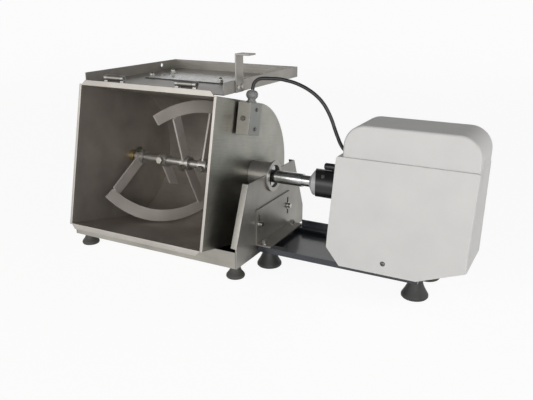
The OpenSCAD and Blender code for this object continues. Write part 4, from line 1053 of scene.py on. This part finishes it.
@dataclass
class LockingKnob(SubAssembly):
    """The bar handle that locks the shaft tube: a round bar on a stem, with domed ends."""

    bar_r: float = 6.3 * MM
    stem_r: float = 3.0 * MM
    collar_r: float = 5.2 * MM
    ease: float = 2.2 * MM
    groove: float = 0.6 * MM
    groove_in: float = 4.5 * MM

    def build(self) -> None:
        """Turns the bar with a groove near each end, and the stem with a collar under the bar."""
        low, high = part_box("locking_knob")
        length = high.x - low.x
        end = [(self.bar_r - self.ease, 0.0), (self.bar_r - 0.35 * self.ease, 0.3 * self.ease),
               (self.bar_r, self.ease), (self.bar_r, self.groove_in),
               (self.bar_r - self.groove, self.groove_in + self.groove / 2),
               (self.bar_r, self.groove_in + self.groove)]
        profile = end + [(radius, length - height) for radius, height in reversed(end)]
        middle = (low + high) / 2
        bar_z = high.z - self.bar_r
        bar = turned("locking_handle", profile, 40)
        settle(bar, along(SHAFT, Vector((low.x, middle.y, bar_z))))
        under = bar_z - self.bar_r
        stem = turned("locking_stem", [
            (self.stem_r, 0.0), (self.stem_r, under - low.z - 1.2 * MM),
            (self.collar_r - 0.4 * MM, under - low.z - 1.0 * MM), (self.collar_r, under - low.z - 0.6 * MM),
            (self.collar_r, under - low.z + 1.5 * MM)], 32)
        settle(stem, Matrix.Translation((middle.x, middle.y, low.z)))
        handle = joined([bar, stem], "locking_handle")
        dress(handle, TUBE_BLACK)
        self.fit(handle, "locking_knob")


@dataclass
class Studio:
    """A plain pale floor, soft lamps, a white surround and the camera at the photographed angle."""

    camera_at: tuple[float, float, float] = (0.5346, -1.0256, 0.5096)
    camera_turn: float = math.radians(27.8)
    camera_dip: float = math.radians(18.7)
    lens_mm: float = 42.55
    floor_size: float = 120.0
    surround: float = 0.42
    # The floor's own light where it is seen, and how much of it covers the lit paper.
    glow: float = 1.06
    glow_share: float = 0.86
    ceiling_size: float = 4.4
    ceiling_y: float = 0.3
    ceiling_z: float = 1.5
    aim_z: float = 0.15

    def build(self) -> None:
        """Makes the camera, the surround, the floor and the lamps."""
        self.camera()
        self.world()
        self.floor()
        self.ceiling()
        self.lamp("key_lamp", (-1.0, -2.6, 0.85), (2.6, 1.1), 22.0)
        self.lamp("front_lamp", (1.5, -2.4, 0.75), (2.0, 1.1), 31.0)
        self.lamp("side_lamp", (2.4, 0.3, 0.8), (1.2, 1.2), 8.0)
        bpy.context.scene.view_settings.view_transform = "Standard"

    def camera(self) -> None:
        """Puts the camera where the photograph was taken from."""
        lens = bpy.data.cameras.new("photo_camera")
        lens.lens = self.lens_mm
        lens.clip_start = 0.02
        lens.clip_end = 300.0
        camera = bpy.data.objects.new("photo_camera", lens)
        bpy.context.scene.collection.objects.link(camera)
        camera.location = self.camera_at
        camera.rotation_euler = (math.pi / 2 - self.camera_dip, 0.0, self.camera_turn)
        bpy.context.scene.camera = camera

    def seen_directly(self, tree: bpy.types.NodeTree) -> bpy.types.NodeSocket:
        """Returns 1 for what the camera sees straight, in a mirror or through glass, and else 0."""
        path = add_node(tree, "ShaderNodeLightPath", {}, {})
        either = add_node(tree, "ShaderNodeMath", {"operation": "MAXIMUM"}, {
            0: path.outputs["Is Camera Ray"], 1: path.outputs["Is Glossy Ray"]})
        any_of = add_node(tree, "ShaderNodeMath", {"operation": "MAXIMUM"}, {
            0: either.outputs[0], 1: path.outputs["Is Transmission Ray"]})
        return any_of.outputs[0]

    def world(self) -> None:
        """Shows white behind the object, and lights it with a dim even surround."""
        world = bpy.data.worlds.new("studio_surround")
        world.use_nodes = True
        tree = world.node_tree
        strength = add_node(tree, "ShaderNodeMapRange", {}, {
            "Value": self.seen_directly(tree), "To Min": self.surround, "To Max": 1.0})
        background = tree.nodes["Background"]
        background.inputs["Color"].default_value = WHITE
        tree.links.new(strength.outputs[0], background.inputs["Strength"])
        bpy.context.scene.world = world

    def floor(self) -> None:
        """Lays the floor, nearly white where it is seen, which still takes the object's shadow."""
        bpy.ops.object.select_all(action="DESELECT")
        bpy.ops.mesh.primitive_plane_add(size=self.floor_size)
        floor = bpy.context.object
        floor.name = "studio_floor"
        paper = bpy.data.materials.new("studio_paper")
        paper.use_nodes = True
        tree = paper.node_tree
        shader = tree.nodes["Principled BSDF"]
        shader.inputs["Base Color"].default_value = linear("#F2F2F1")
        shader.inputs["Roughness"].default_value = 0.9
        glow = add_node(tree, "ShaderNodeEmission", {}, {"Color": WHITE, "Strength": self.glow})
        share = add_node(tree, "ShaderNodeMath", {"operation": "MULTIPLY"}, {
            0: self.seen_directly(tree), 1: self.glow_share})
        mixed = add_node(tree, "ShaderNodeMixShader", {}, {
            0: share.outputs[0], 1: shader.outputs[0], 2: glow.outputs[0]})
        tree.links.new(mixed.outputs[0], tree.nodes["Material Output"].inputs["Surface"])
        floor.data.materials.append(paper)

    def ceiling(self) -> None:
        """Hangs a grey studio ceiling that the camera doesn't see, so what faces up is darker."""
        bpy.ops.object.select_all(action="DESELECT")
        bpy.ops.mesh.primitive_plane_add(
            size=self.ceiling_size, location=(0.0, self.ceiling_y, self.ceiling_z))
        ceiling = bpy.context.object
        ceiling.name = "studio_ceiling"
        ceiling.visible_camera = False
        paint = bpy.data.materials.new("studio_ceiling_grey")
        paint.use_nodes = True
        shader = paint.node_tree.nodes["Principled BSDF"]
        shader.inputs["Base Color"].default_value = linear("#666666")
        shader.inputs["Roughness"].default_value = 0.95
        ceiling.data.materials.append(paint)

    def lamp(self, name: str, place: tuple[float, float, float], size: tuple[float, float],
             watts: float) -> None:
        """Hangs a soft rectangular lamp that faces the object.

        Args:
            name: the lamp's name.
            place: where it hangs, in metres.
            size: its width and height, in metres.
            watts: its power.
        """
        light = bpy.data.lights.new(name, "AREA")
        light.shape = "RECTANGLE"
        light.size, light.size_y = size
        light.energy = watts
        lamp = bpy.data.objects.new(name, light)
        bpy.context.scene.collection.objects.link(lamp)
        target = Vector((0.0, 0.0, self.aim_z))
        lamp.location = place
        lamp.rotation_euler = (Vector(place) - target).to_track_quat("Z", "Y").to_euler()


def dress_cad_nodes() -> None:
    """Gives every CAD node that still shows the finish of its record slot."""
    for name, node in frame["nodes"].items():
        finish = SLOT_FINISH[SLOTS[name]]
        dress(node, finish)


def main() -> None:
    """Builds the studio and every sub-assembly."""
    Studio().build()
    SensorCable().build()
    dress_cad_nodes()
    assemblies = [
        BaseFrame("frame"),
        RubberFeet("frame", "base_feet", MIXER_FOOT, FOOT_GREY, MIXER_SPANS),
        RubberFeet("frame", "motor_feet", DRIVE_FOOT, FOOT_BLACK, DRIVE_SPANS),
        DriveCover("frame"),
        CoverScrews("frame"),
        DriveLine("frame"),
        LockingKnob("locking_knob"),
        Tub("tub"),
        SafetySwitch("tub"),
        Lid("lid"),
        MixingShaft("mixing_shaft"),
    ]
    for assembly in assemblies:
        assembly.build()
        LOG.info("%s is built", type(assembly).__name__)


if __name__ == "__main__":
    main()
